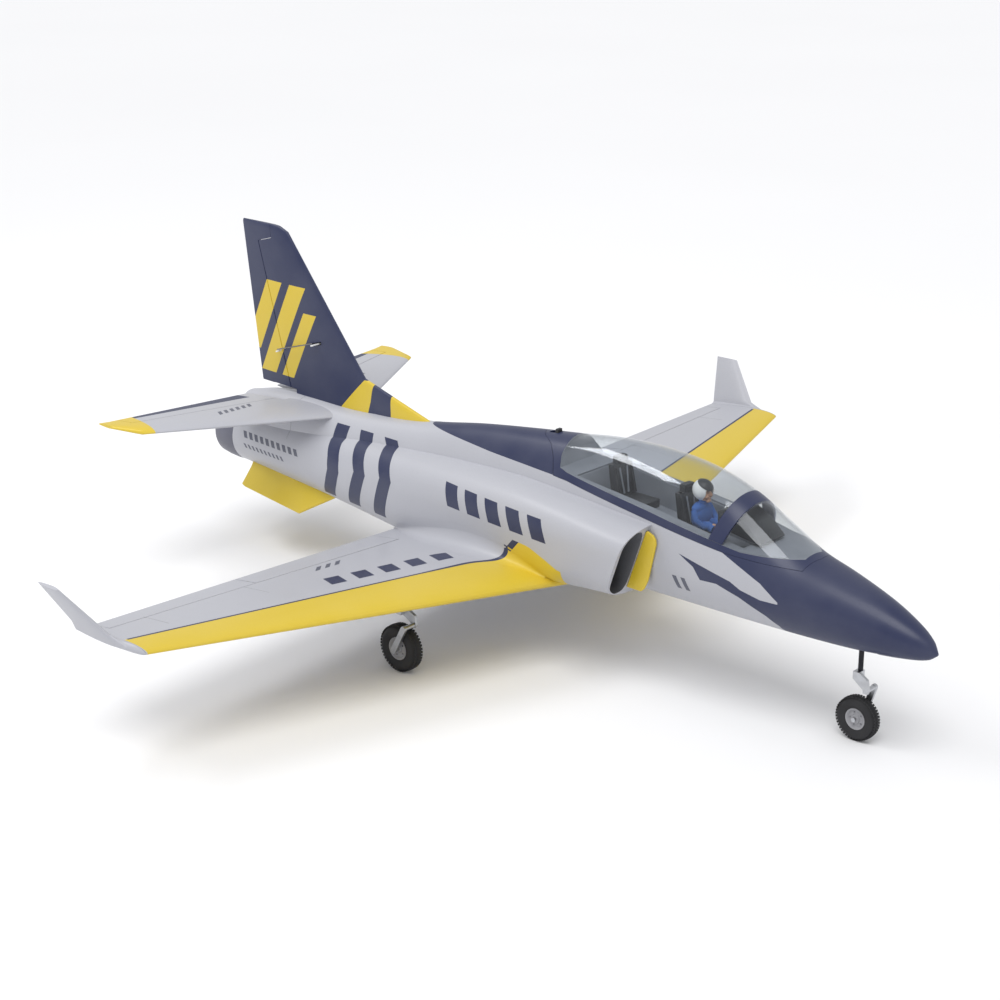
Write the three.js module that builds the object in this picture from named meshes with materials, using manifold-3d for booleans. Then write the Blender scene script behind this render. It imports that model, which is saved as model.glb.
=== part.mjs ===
// Radio-controlled ducted-fan sport jet: foam airframe, lift-off canopy hatch, retractable
// trailing-link landing gear, control surfaces, fan and the gear it carries inside.
// Millimetres, +Z up, nose toward -Y, starboard wing toward -X. The origin is on the ground
// in the symmetry plane, midway between the nose tip and the nozzle's rim.
// Lengths along the fuselage are given as stations: distances aft of the nose tip.
import * as THREE from "three";
import { mergeVertices } from "three/addons/utils/BufferGeometryUtils.js";
import Module from "manifold-3d";

const wasm = await Module();
wasm.setup();

// ---------------------------------------------------------------- driving dimensions
const LENGTH = 1028; // nose tip to nozzle rim
const HALF_SPAN = 550; // to the winglet tops
const FIT = 0.35; // gap between neighbouring pieces
const SECTION_POINTS = 28; // points round a fuselage section

const NOSE_JOINT = 46; // station of the glued nose cone joint
const BODY_JOINT = 700; // station where front and rear fuselage meet
const DUCT = { z: 128, fanRadius: 35.2, tailRadius: 30, wall: 1.2 };
const FAN = { front: 588, rear: 642, outer: 38, sleeve: 16 };
const NOZZLE = { front: 992, outer: 36, rim: 33.5, bore: 30.5 };
const MOUTH = { station: 314, top: 187, rake: 0.352 };
const SPLITTER = { inner: 53.4, outer: 56.4, front: 302, rear: 334 };
const BAY = { half: 27, front: 222, rear: 440, floor: 105 };
const NOSE_WELL = { half: 17, front: 57, middle: 120, rear: 212, top: 146, wheelTop: 151.2 };

const WING = {
  root: { x: 70, station: 421, chord: 270, z: 98, thick: 27 },
  tip: { x: 516, station: 558, chord: 104, z: 120, thick: 9.5 },
  incidence: 2.3,
};
const WING_HINGE = { inner: { x: 88, station: 646 }, outer: { x: 500, station: 636 }, split: 305 };
const SPAR = { radius: 3, half: 200, station: 497, z: 97 };
const TAIL = {
  root: { x: 8, station: 814, chord: 156, z: 187, thick: 13 },
  tip: { x: 219, station: 930, chord: 66, z: 190, thick: 6.5 },
  hinge: { inner: { x: 24, station: 919 }, outer: { x: 208, station: 966 } },
};
const FIN = {
  low: { z: 188, front: 746, rear: 968, thick: 13 },
  high: { z: 400, front: 920, rear: 996.5, thick: 7 },
  hingeLow: { station: 916, z: 206 },
  hingeHigh: { station: 967, z: 377 },
};
const RUDDER_LINK = { arm: 12, reach: 66, z: 247 };

const MAIN = { x: 190, station: 541, wheel: 27, width: 17, pivot: 95, armPivot: [525.5, 56] };
const NOSE = { station: 86, wheel: 24, width: 14, pivot: 120, axle: [85, 24], armPivot: [74, 58] };

// ---------------------------------------------------------------- colours
const COLOUR = {
  grey: 0xc9c9ce,
  navy: 0x3a4363,
  yellow: 0xd9c445,
  clear: 0xc6cbd2,
  dark: 0x333338,
  nozzle: 0x5e5e6a,
  cockpit: 0x8a8a90,
  alloy: 0xb9bac0,
  tyre: 0x242428,
  hub: 0xa2a2a8,
  carbon: 0x1f1f22,
  wood: 0xc8a878,
  battery: 0x2f3b58,
};

// ---------------------------------------------------------------- geometry helpers
const y = (station) => station - LENGTH / 2;
const radians = THREE.MathUtils.degToRad;

// A closed surface as a solid with its faces pointing out.
function solidFrom(positions, faces) {
  let volume = 0;
  const corner = (i) => new THREE.Vector3().fromArray(positions, 3 * i);
  for (let i = 0; i < faces.length; i += 3) {
    volume += corner(faces[i]).dot(corner(faces[i + 1]).cross(corner(faces[i + 2])));
  }
  const triVerts = new Uint32Array(volume < 0 ? faces.toReversed() : faces);
  const vertProperties = new Float32Array(positions);
  return new wasm.Manifold(new wasm.Mesh({ numProp: 3, vertProperties, triVerts }));
}

function solidOf(geometry) {
  const bare = geometry.clone();
  bare.deleteAttribute("normal");
  bare.deleteAttribute("uv");
  const merged = mergeVertices(bare, 1e-3);
  return solidFrom(Array.from(merged.attributes.position.array), Array.from(merged.index.array));
}

const join = (first, ...rest) => rest.reduce((sum, item) => sum.add(item), first);
const cut = (first, ...rest) => rest.reduce((sum, item) => sum.subtract(item), first);

function mirrored(solid) {
  const mesh = solid.getMesh();
  const positions = [];
  for (let i = 0; i < mesh.numVert; i++) {
    const [px, py, pz] = mesh.vertProperties.subarray(i * mesh.numProp, i * mesh.numProp + 3);
    positions.push(-px, py, pz);
  }
  return solidFrom(positions, Array.from(mesh.triVerts));
}

const sided = (solid, side) => (side > 0 ? solid : mirrored(solid));

function block([x0, x1], [s0, s1], [z0, z1]) {
  const geometry = new THREE.BoxGeometry(x1 - x0, s1 - s0, z1 - z0);
  return solidOf(geometry.translate((x0 + x1) / 2, y((s0 + s1) / 2), (z0 + z1) / 2));
}

// A round bar between two points, each given as [x, station, z].
function bar(from, to, radius, endRadius = radius, sides = 16) {
  const a = new THREE.Vector3(from[0], y(from[1]), from[2]);
  const b = new THREE.Vector3(to[0], y(to[1]), to[2]);
  const geometry = new THREE.CylinderGeometry(endRadius, radius, a.distanceTo(b), sides);
  const turn = new THREE.Quaternion().setFromUnitVectors(
    new THREE.Vector3(0, 1, 0),
    b.clone().sub(a).normalize(),
  );
  geometry.applyQuaternion(turn).translate((a.x + b.x) / 2, (a.y + b.y) / 2, (a.z + b.z) / 2);
  return solidOf(geometry);
}

function ball([x, station, z], radius, stretch = [1, 1, 1]) {
  const geometry = new THREE.SphereGeometry(radius, 14, 10).scale(...stretch);
  return solidOf(geometry.translate(x, y(station), z));
}

// A prism along X of an outline in stations and heights.
function sideProfile(points, x0, x1) {
  const shape = new THREE.Shape(points.map(([s, z]) => new THREE.Vector2(y(s), z)));
  const geometry = new THREE.ExtrudeGeometry(shape, { depth: x1 - x0, bevelEnabled: false });
  const axes = new THREE.Matrix4().set(0, 0, 1, x0, 1, 0, 0, 0, 0, 1, 0, 0, 0, 0, 0, 1);
  return solidOf(geometry.applyMatrix4(axes));
}

// A prism along Z of an outline in x and stations.
function planProfile(points, z0, z1) {
  const shape = new THREE.Shape(points.map(([x, s]) => new THREE.Vector2(x, y(s))));
  const geometry = new THREE.ExtrudeGeometry(shape, { depth: z1 - z0, bevelEnabled: false });
  return solidOf(geometry.translate(0, 0, z0));
}

// A solid through closed sections of equal point counts, each a list of [x, y, z].
function loft(sections) {
  const count = sections[0].length;
  const positions = sections.flat(2);
  const faces = [];
  for (let ring = 0; ring + 1 < sections.length; ring++) {
    for (let i = 0; i < count; i++) {
      const a = ring * count + i;
      const b = ring * count + ((i + 1) % count);
      faces.push(a, b, b + count, a, b + count, a + count);
    }
  }
  const last = (sections.length - 1) * count;
  for (const [start, flip] of [[0, true], [last, false]]) {
    const middle = positions.length / 3;
    const ring = sections[start / count];
    positions.push(...[0, 1, 2].map((k) => ring.reduce((sum, p) => sum + p[k], 0) / count));
    for (let i = 0; i < count; i++) {
      const a = start + i;
      const b = start + ((i + 1) % count);
      faces.push(middle, ...(flip ? [b, a] : [a, b]));
    }
  }
  return solidFrom(positions, faces);
}

// A round body about a line through (x, z) = (0, height), from [station, radius] pairs.
function turned(profile, height, sides = 32) {
  const geometry = new THREE.LatheGeometry(profile.map(([s, r]) => new THREE.Vector2(r, y(s))), sides);
  return solidOf(geometry.translate(0, 0, height));
}

// A wheel part about the X axis through [x, station, z], from [across, radius] pairs.
function wheelShape(profile, [x, station, z], sides = 24) {
  const geometry = new THREE.LatheGeometry(profile.map(([w, r]) => new THREE.Vector2(r, w)), sides);
  return solidOf(geometry.rotateZ(-Math.PI / 2).translate(x, y(station), z));
}

// A smooth function through [station, value] points.
function curve(points) {
  const slope = points.map((p, i) => {
    const before = points[Math.max(i - 1, 0)];
    const after = points[Math.min(i + 1, points.length - 1)];
    return (after[1] - before[1]) / (after[0] - before[0]);
  });
  return (s) => {
    let i = points.findIndex((p) => p[0] > s) - 1;
    if (i < 0) i = s <= points[0][0] ? 0 : points.length - 2;
    const [s0, v0] = points[i];
    const [s1, v1] = points[i + 1];
    const t = THREE.MathUtils.clamp((s - s0) / (s1 - s0), 0, 1);
    const span = s1 - s0;
    const rise = (t - 2 * t * t + t ** 3) * span * slope[i] + (t ** 3 - t * t) * span * slope[i + 1];
    return v0 + (v1 - v0) * (3 * t * t - 2 * t ** 3) + rise;
  };
}

// ---------------------------------------------------------------- fuselage form
// The core runs from the nose over the canopy to the spine under the fin.
const CORE = {
  half: curve([
    [0, 1.5], [8, 9], [25, 17.5], [60, 28], [110, 38.5], [170, 47], [250, 52.5], [340, 52],
    [440, 49], [520, 42], [620, 34], [740, 32], [840, 33], [920, 31], [992, 24],
  ]),
  top: curve([
    [0, 119.5], [8, 130], [25, 141.5], [60, 157.5], [110, 173.5], [152, 185.5], [190, 207],
    [232, 230], [280, 245], [340, 251], [400, 249], [460, 241], [520, 233.5], [600, 222],
    [677, 208], [740, 201], [800, 197.5], [880, 197], [940, 194.5], [992, 184],
  ]),
  water: curve([[0, 118], [60, 129], [150, 141], [260, 148], [400, 150], [600, 146], [992, 140]]),
  low: curve([
    [0, 116.5], [8, 110.5], [25, 106.5], [60, 102.5], [120, 99.5], [260, 97], [400, 94],
    [600, 92], [992, 104],
  ]),
  power: curve([[0, 2.15], [620, 2.15], [840, 2.5], [992, 2.4]]),
};
const CORE_STATIONS = [
  0, 3, 8, 15, 25, 40, 60, 85, 110, 130, 152, 172, 190, 210, 232, 255, 280, 310, 340, 370, 400,
  430, 460, 490, 520, 560, 600, 640, 677, 720, 760, 820, 880, 940, 968, 992,
];

// The trunk holds the intakes and the duct, and carries the wing and the tail.
const TRUNK = {
  half: curve([
    [290, 93], [345, 93], [400, 90], [480, 84], [560, 76], [640, 66], [700, 59], [760, 52.5],
    [830, 46.5], [900, 42], [960, 38], [992, 36],
  ]),
  top: curve([
    [290, 186], [345, 188.5], [420, 193], [500, 194], [600, 188], [700, 181], [830, 174], [992, 164],
  ]),
  water: curve([[290, 145], [500, 140], [700, 131], [992, 128]]),
  low: curve([
    [290, 104.5], [345, 102.5], [400, 95], [480, 81], [560, 75], [640, 73], [700, 75], [830, 84],
    [992, 92],
  ]),
  power: curve([[290, 4.2], [420, 3.6], [560, 3], [760, 2.5], [992, 2]]),
};
const TRUNK_STATIONS = [290, 345, 372, 400, 440, 480, 520, 560, 600, 640, 700, 760, 830, 900, 960, 992];

function bodySection(form, station, grow) {
  const points = [];
  const power = 2 / form.power(station);
  const height = form.water(station);
  for (let i = 0; i < SECTION_POINTS; i++) {
    const turn = (2 * Math.PI * i) / SECTION_POINTS;
    const across = Math.sign(Math.cos(turn)) * Math.abs(Math.cos(turn)) ** power;
    const up = Math.sign(Math.sin(turn)) * Math.abs(Math.sin(turn)) ** power;
    const reach = up > 0 ? form.top(station) + grow - height : height - form.low(station) + grow;
    points.push([(form.half(station) + grow) * across, y(station), height + reach * up]);
  }
  return points;
}

const body = (form, stations, grow = 0) => loft(stations.map((s) => bodySection(form, s, grow)));

const CORE_BODY = body(CORE, CORE_STATIONS);
const CORE_GROWN = body(CORE, CORE_STATIONS, FIT);
const mouthFace = (z) => MOUTH.station + (MOUTH.top - z) * MOUTH.rake;
const behindMouth = sideProfile(
  [[mouthFace(230), 230], [mouthFace(60), 60], [1010, 60], [1010, 230]],
  -120,
  120,
);
const TRUNK_BODY = body(TRUNK, TRUNK_STATIONS).intersect(behindMouth);
const TRUNK_GROWN = body(TRUNK, TRUNK_STATIONS, FIT);

// Both intake ducts, from the mouths back to the fan's face.
const DUCT_PATH = [
  { s: 285, x: 72.7, half: 15.7, z: 145.2, up: 37.2, power: 4.5 },
  { s: 345, x: 72.2, half: 15.5, z: 145, up: 36, power: 4 },
  { s: 400, x: 63, half: 18, z: 141, up: 33, power: 3.2 },
  { s: 460, x: 47, half: 20, z: 136, up: 30, power: 2.6 },
  { s: 520, x: 25, half: 25, z: 131, up: 28.5, power: 2.2 },
  { s: 588, x: 0, half: DUCT.fanRadius, z: DUCT.z, up: DUCT.fanRadius, power: 2 },
];

// Half width of the trunk's skin at a height, and the foam left between it and a duct.
function trunkHalf(s, z) {
  const water = TRUNK.water(s);
  const reach = z > water ? TRUNK.top(s) - water : water - TRUNK.low(s);
  const share = Math.min(Math.abs(z - water) / reach, 1);
  const power = TRUNK.power(s);
  return TRUNK.half(s) * (1 - share ** power) ** (1 / power);
}
const DUCT_COVER = 4;

function ductSection({ s, x, half, z, up, power }) {
  const points = [];
  for (let i = 0; i < 24; i++) {
    const turn = (2 * Math.PI * i) / 24;
    const across = Math.sign(Math.cos(turn)) * Math.abs(Math.cos(turn)) ** (2 / power);
    const rise = Math.sign(Math.sin(turn)) * Math.abs(Math.sin(turn)) ** (2 / power);
    const height = z + up * rise;
    const skin = Math.max(trunkHalf(s, height) - DUCT_COVER, x);
    points.push([Math.min(x + half * across, skin), y(s), height]);
  }
  return points;
}

function ducts() {
  const left = loft(DUCT_PATH.map(ductSection));
  return join(left, mirrored(left));
}

// ---------------------------------------------------------------- canopy hatch form
const SEAM = [[138, 174], [226, 178.5], [437, 203], [512, 206]];
const SILL = [[147, 182], [206, 182.5], [250, 189], [323, 198.8], [440, 211.3], [451, 214], [455, 226]];
const seamHeight = (s) => 178.5 + ((s - 226) * 24.5) / 211;
const HATCH_PLAN = [
  [-75, 168], [-34, 143], [0, 138], [34, 143], [75, 168], [75, 425],
  [45, 453], [30, 466], [20, 478], [11, 494], [0, 502],
  [-11, 494], [-20, 478], [-30, 466], [-45, 453], [-75, 425],
];
const CANOPY_WALL = 1.6;
const ARCH = { low: 232, high: 200, width: 17, wall: 3.2 };

function hatchTool(grow) {
  const outline = SEAM.map(([s, z]) => [s, z - grow]);
  const side = sideProfile([[110, 174 - grow], ...outline, [512, 320], [110, 320]], -90, 90);
  const plan = HATCH_PLAN.map(([x, s]) => [x * (1 + grow / 60), s + Math.sign(s - 300) * grow]);
  return side.intersect(planProfile(plan, 100, 320));
}

const canopyTool = (grow) => {
  const sill = SILL.map(([s, z]) => [s, z - grow]);
  const rear = SILL.at(-1)[0] + grow;
  return sideProfile([...sill.slice(0, -1), [rear, 226], [rear, 320], [SILL[0][0], 320]], -90, 90);
};
const archTool = (margin) =>
  sideProfile(
    [
      [ARCH.low - margin, 170], [ARCH.high - margin, 270],
      [ARCH.high + ARCH.width + margin, 270], [ARCH.low + ARCH.width + margin, 170],
    ],
    -90,
    90,
  );
const canopySkin = (wall) =>
  CORE_BODY.subtract(body(CORE, CORE_STATIONS, -wall)).intersect(canopyTool(0)).intersect(hatchTool(0));

// Cockpit tub: an open tray whose floor falls toward the front.
const TUB = { half: 34.5, front: 208, rear: 428, depth: 24, wall: 1.6 };
const tubBlock = (grow, open) =>
  sideProfile(
    [
      [TUB.front - grow, seamHeight(TUB.front) - TUB.depth - grow],
      [TUB.rear + grow, seamHeight(TUB.rear) - TUB.depth - grow],
      [TUB.rear + grow, seamHeight(TUB.rear) + 6 + open],
      [TUB.front - grow, seamHeight(TUB.front) + 6 + open],
    ],
    -TUB.half - grow,
    TUB.half + grow,
  );

// ---------------------------------------------------------------- wing and tail form
// An aerofoil section at place [x, station, z] of its leading edge; span direction sets its face.
function aerofoil([x, station, z], chord, thick, incidence, lift = [0, 0, 1]) {
  const steps = [0, 0.02, 0.08, 0.18, 0.32, 0.5, 0.68, 0.85, 1];
  const polynomial = (t) =>
    0.2969 * Math.sqrt(t) - 0.126 * t - 0.3516 * t * t + 0.2843 * t ** 3 - 0.1036 * t ** 4;
  const half = (t) => (thick / 0.2) * polynomial(t) + 0.6 * t;
  const camber = (t) => 0.06 * thick * Math.sin(Math.PI * Math.sqrt(t));
  const fall = Math.tan(radians(incidence));
  const upper = steps.slice(1).map((t) => [t, camber(t) + half(t)]);
  const lower = steps.slice(1).map((t) => [t, camber(t) - half(t)]);
  return [[0, 0], ...upper, ...lower.reverse()].map(([t, rise]) => [
    x + lift[0] * rise,
    y(station + chord * t),
    z + lift[2] * rise - chord * t * fall,
  ]);
}

function panelPoint(panel, x) {
  const t = (x - panel.root.x) / (panel.tip.x - panel.root.x);
  const mix = (key) => THREE.MathUtils.lerp(panel.root[key], panel.tip[key], t);
  return { station: mix("station"), chord: mix("chord"), z: mix("z"), thick: mix("thick") };
}

function panelSection(panel, x, incidence) {
  const p = panelPoint(panel, x);
  return aerofoil([x, p.station, p.z], p.chord, p.thick, incidence);
}

// Height of a panel's mean line and its half thickness where a hinge line crosses it.
function hingePoint(panel, { x, station }, incidence) {
  const p = panelPoint(panel, x);
  const t = (station - p.station) / p.chord;
  const rise = 0.55 * p.thick * Math.sqrt(Math.max(1 - t, 0.05));
  return { x, station, z: p.z - (station - p.station) * Math.tan(radians(incidence)), rise };
}

// Everything aft of a hinge line between two span positions, its front face leaning by `lean`.
function aftOf(panel, hinge, x0, x1, incidence, lean, shift) {
  const ends = [x0, x1].map((x) => {
    const t = (x - hinge.inner.x) / (hinge.outer.x - hinge.inner.x);
    const station = THREE.MathUtils.lerp(hinge.inner.station, hinge.outer.station, t);
    return hingePoint(panel, { x, station }, incidence);
  });
  return loft(
    ends.map(({ x, station, z, rise }) => {
      const s = station + shift;
      return [
        [x, y(s), z + rise],
        [x, y(s + lean * 2 * rise), z - rise - 4],
        [x, y(s + 120), z - rise - 4],
        [x, y(s + 120), z + rise + 6],
        [x, y(s), z + rise + 6],
      ];
    }),
  );
}

const HINGE_GAP = 0.9;

// ---------------------------------------------------------------- scene graph
const jet = new THREE.Group();

function addNode(name, solid, colour, finish = {}) {
  const mesh = solid.getMesh();
  const geometry = new THREE.BufferGeometry();
  const positions = new Float32Array(mesh.numVert * 3);
  for (let i = 0; i < mesh.numVert; i++) {
    positions.set(mesh.vertProperties.subarray(i * mesh.numProp, i * mesh.numProp + 3), 3 * i);
  }
  geometry.setAttribute("position", new THREE.BufferAttribute(positions, 3));
  geometry.setIndex(new THREE.BufferAttribute(mesh.triVerts, 1));
  geometry.computeVertexNormals();
  const look = { color: colour, roughness: 0.55, metalness: 0, ...finish };
  const material = new THREE.MeshStandardMaterial(look);
  const node = new THREE.Mesh(geometry, material);
  node.name = name;
  jet.add(node);
}

const METAL = { roughness: 0.3, metalness: 0.9 };
const GLASS = { roughness: 0.05, transparent: true, opacity: 0.35 };
const SIDES = { left: 1, right: -1 };
const forBothSides = (make) => Object.entries(SIDES).forEach(([name, side]) => make(name, side));

// ---------------------------------------------------------------- cavities in the fuselage
const wellBlock = (front, top) =>
  block([-NOSE_WELL.half, NOSE_WELL.half], [front, NOSE_WELL.rear], [60, top]);
const noseWell = join(
  wellBlock(NOSE_WELL.front, NOSE_WELL.top),
  wellBlock(NOSE_WELL.middle, NOSE_WELL.wheelTop),
);
const batteryBay = block([-BAY.half, BAY.half], [BAY.front, BAY.rear], [BAY.floor, 176]);
const seatRadius = FAN.outer + FIT;
const fanSeat = bar([0, FAN.front - 1, DUCT.z], [0, BODY_JOINT + 20, DUCT.z], seatRadius, seatRadius, 32);
const sparEnd = (x) => [x, SPAR.station, SPAR.z];
const sparHole = (grow) =>
  bar(sparEnd(-SPAR.half - grow), sparEnd(SPAR.half + grow), SPAR.radius + grow);
const tubeRadius = (s) =>
  THREE.MathUtils.mapLinear(s, FAN.rear, NOZZLE.front, FAN.outer - 1.2, DUCT.tailRadius + DUCT.wall);
const TUBE = { front: FAN.rear + 1, rear: NOZZLE.front + 6 };
const tubeHole = bar(
  [0, BODY_JOINT - 10, DUCT.z],
  [0, LENGTH + 20, DUCT.z],
  tubeRadius(BODY_JOINT - 10) + FIT,
  tubeRadius(LENGTH + 20) + FIT,
  32,
);

const between = (s0, s1) => block([-200, 200], [s0, s1], [0, 450]);

function makeFuselage() {
  const whole = join(CORE_BODY, TRUNK_BODY);
  addNode("nose_cone", whole.intersect(between(-5, NOSE_JOINT)), COLOUR.navy);
  const front = cut(
    whole.intersect(between(NOSE_JOINT + FIT, BODY_JOINT)),
    hatchTool(FIT),
    tubBlock(1.2, 40),
    noseWell,
    batteryBay,
    ducts(),
    fanSeat,
    sparHole(FIT),
  );
  addNode("front_fuselage", front, COLOUR.grey);
  const rear = cut(whole.intersect(between(BODY_JOINT + FIT, NOZZLE.front)), tubeHole);
  addNode("rear_fuselage", rear, COLOUR.grey);
}

function makeSplitters() {
  const { inner, outer, front, rear } = SPLITTER;
  const outline = [
    [front + 20, 112], [front + 15, 116], [front + 1, 168], [front + 2, 173], [front + 12, 180],
    [mouthFace(180) - FIT, 180], [mouthFace(112) - FIT, 112],
  ];
  const room = block([inner, outer], [front - 5, rear + 10], [100, 190]);
  const plate = sideProfile(outline, inner, outer).intersect(room);
  forBothSides((name, side) => addNode(`intake_splitter_${name}`, sided(plate, side), COLOUR.yellow));
}

// ---------------------------------------------------------------- canopy hatch
function makeHatch() {
  const shell = CORE_BODY.intersect(hatchTool(0));
  const frame = cut(shell, canopyTool(FIT), tubBlock(FIT, 40), latchTrack());
  addNode("canopy_hatch", frame, COLOUR.navy);
  const tray = tubBlock(0, 0).subtract(tubBlock(-TUB.wall, 40));
  const capped = tray.intersect(body(CORE, CORE_STATIONS, -4));
  addNode("cockpit_tub", capped, COLOUR.cockpit);
  const glass = canopySkin(CANOPY_WALL);
  const [ahead, behind] = [between(140, 232), between(232, 480)];
  addNode("windscreen", cut(glass.intersect(ahead), archTool(FIT), behindArch()), COLOUR.clear, GLASS);
  addNode("canopy_glass", cut(glass.intersect(behind), archTool(FIT), aheadOfArch()), COLOUR.clear, GLASS);
  addNode("canopy_arch", canopySkin(ARCH.wall).intersect(archTool(0)), COLOUR.navy);
}

const archSplit = [[ARCH.low + 4, 170], [ARCH.high + 4, 270]];
const aheadOfArch = () => sideProfile([[100, 170], ...archSplit, [100, 270]], -90, 90);
const behindArch = () => sideProfile([...archSplit, [500, 270], [500, 170]], -90, 90);

const LATCH = { station: 488, half: 4 };
const latchTrack = () =>
  block([-LATCH.half - 0.6, LATCH.half + 0.6], [LATCH.station - 7, LATCH.station + 6.5], [226, 260]);

function makeLatch() {
  const plate = block([-LATCH.half, LATCH.half], [LATCH.station - 6.4, LATCH.station - 0.4], [226.5, 236]);
  const knob = block([-3.6, 3.6], [LATCH.station - 5.6, LATCH.station - 1.6], [235, 241.5]);
  addNode("hatch_latch", join(plate, knob), COLOUR.dark);
}

function makeSeat(name, station) {
  const floor = seamHeight(station) - TUB.depth + TUB.wall + FIT;
  const pan = block([-17, 17], [station - 30, station + 4], [floor + 2.5, floor + 12]);
  const back = sideProfile(
    [
      [station + 1, floor + 2.5], [station + 9, floor + 2.5],
      [station + 16, floor + 48], [station + 8, floor + 48],
    ],
    -15,
    15,
  );
  const rest = block([-8, 8], [station + 8, station + 15.5], [floor + 47, floor + 56]);
  addNode(name, join(pan, back, rest), COLOUR.dark);
}

const SEATS = { front: 296, rear: 386 };

function makePilot() {
  const station = SEATS.front;
  const floor = seamHeight(station) - TUB.depth + TUB.wall + 13;
  const chest = ball([0, station - 8.5, floor + 15], 15, [1.05, 0.55, 1]);
  const neck = bar([0, station - 8, floor + 24], [0, station - 9, floor + 36], 5);
  const head = ball([0, station - 10, floor + 42], 12, [0.92, 1.05, 1.08]);
  const lap = block([-12, 12], [station - 30, station - 4], [floor, floor + 8]);
  const forearm = (side) =>
    bar([side * 13, station - 9, floor + 16], [side * 7, station - 28, floor + 9], 4, 3.2, 10);
  addNode("pilot_figure", join(chest, neck, head, lap, forearm(1), forearm(-1)), COLOUR.battery);
}

function makeHood() {
  const low = 184.8;
  const outline = [[196, low], [206, low], [252, low + 7], [252, low + 24], [240, low + 29], [214, low + 17]];
  const hood = sideProfile(outline, -21, 21).intersect(body(CORE, CORE_STATIONS, -3));
  addNode("instrument_hood", hood, COLOUR.dark);
}

// ---------------------------------------------------------------- wings
const MOUNT = { x: [MAIN.x + 9, MAIN.x + 36], s: [MAIN.station - 20, MAIN.station + 20], z: [85.5, 104] };
const WELL = { x: 122, station: 545, radius: 34, top: MAIN.pivot + 10.2 };
const gearWell = join(
  bar([WELL.x, WELL.station, 60], [WELL.x, WELL.station, WELL.top], WELL.radius, WELL.radius, 28),
  block([WELL.x, MOUNT.x[0] + 0.5], [MOUNT.s[0] - 0.5, MOUNT.s[1] + 0.5], [60, WELL.top]),
);
const grown = (range, gap) => [range[0] - gap, range[1] + gap];

function makeWings() {
  const spans = [30, WING.root.x, 200, 360, WING.tip.x];
  const whole = loft(spans.map((x) => panelSection(WING, x, WING.incidence)));
  const { inner, outer, split } = WING_HINGE;
  const piece = (x0, x1, lean, shift) => aftOf(WING, WING_HINGE, x0, x1, WING.incidence, lean, shift);
  const panel = cut(
    whole,
    TRUNK_GROWN,
    CORE_GROWN,
    piece(inner.x - 0.6, outer.x + 0.6, 0, 0),
    gearWell,
    block(grown(MOUNT.x, FIT), grown(MOUNT.s, FIT), [60, MOUNT.z[1] + FIT]),
    sparHole(FIT),
  );
  const flap = whole.intersect(piece(inner.x, split - 0.5, 0.95, HINGE_GAP));
  const aileron = whole.intersect(piece(split + 0.5, outer.x, 0.55, HINGE_GAP));
  forBothSides((name, side) => {
    addNode(`wing_${name}`, sided(panel, side), COLOUR.grey);
    addNode(`flap_${name}`, sided(flap, side), COLOUR.grey);
    addNode(`aileron_${name}`, sided(aileron, side), COLOUR.grey);
  });
  addNode("wing_spar", sparHole(0), COLOUR.carbon);
}

function makeWinglets() {
  const { tip } = WING;
  const lean = radians(30);
  const across = [-Math.cos(lean), 0, Math.sin(lean)];
  const halfway = [-Math.sin(radians(25)), 0, Math.cos(radians(25))];
  const fin = loft([
    aerofoil([tip.x + FIT, tip.station + 1, tip.z], tip.chord - 1, tip.thick, WING.incidence),
    aerofoil([tip.x + 5, 582, 121], 81, 7.5, WING.incidence, halfway),
    aerofoil([524, 604, 128], 60.5, 5.5, 0.6, across),
    aerofoil([HALF_SPAN - 0.8, 648, 171.5], 31.5, 3.2, 0.6, across),
  ]);
  forBothSides((name, side) => addNode(`winglet_${name}`, sided(fin, side), COLOUR.grey));
}

// ---------------------------------------------------------------- tail
function makeTailplanes() {
  const { root, tip, hinge } = TAIL;
  const inboard = [root.x, 60, 140, tip.x].map((x) => panelSection(TAIL, x, 0));
  const rake = aerofoil([232, 972, tip.z + 0.5], 26.5, 3, 0);
  const whole = loft([...inboard, rake]);
  const piece = (x0, x1, lean, shift) => aftOf(TAIL, hinge, x0, x1, 0, lean, shift);
  const inner = hinge.inner.x;
  const rootCut = block([-5, inner], [905, 1010], [150, 230]);
  const plane = cut(whole, TRUNK_GROWN, CORE_GROWN, piece(inner - 0.6, hinge.outer.x + 0.6, 0, 0), rootCut);
  const elevator = whole.intersect(piece(inner, hinge.outer.x, 0.5, HINGE_GAP));
  forBothSides((name, side) => {
    addNode(`tailplane_${name}`, sided(plane, side), COLOUR.grey);
    addNode(`elevator_${name}`, sided(elevator, side), COLOUR.grey);
  });
}

const finHinge = (z) =>
  THREE.MathUtils.mapLinear(z, FIN.hingeLow.z, FIN.hingeHigh.z, FIN.hingeLow.station, FIN.hingeHigh.station);

// A vertical aerofoil: the leading edge at [station, z], the section level.
function uprightSection(z, front, rear, thick) {
  return aerofoil([0, 0, 0], rear - front, thick, 0).map(([, along, rise]) => [rise, along + front, z]);
}

function rudderTool(margin) {
  const section = (z) => {
    const s = finHinge(z) - margin;
    const nose = margin > 0 ? [[-9, y(s)], [9, y(s)]] : [[-9, y(s + 3.6)], [0, y(s)], [9, y(s + 3.6)]];
    const ring = [...nose, [9, y(1030)], [-9, y(1030)]];
    return ring.map(([x, along]) => [x, along, z]);
  };
  const blade = loft([section(FIN.hingeLow.z - 4 - margin), section(FIN.hingeHigh.z + 1)]);
  const front = FIN.hingeHigh.station - 24 - margin;
  const horn = sideProfile(
    [
      [front, FIN.hingeHigh.z + 7 - margin], [FIN.hingeHigh.station + 1, FIN.hingeHigh.z - margin],
      [1030, FIN.hingeHigh.z - 6], [1030, 430], [front + 6, 430],
    ],
    -9,
    9,
  );
  return join(blade, horn);
}

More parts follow.
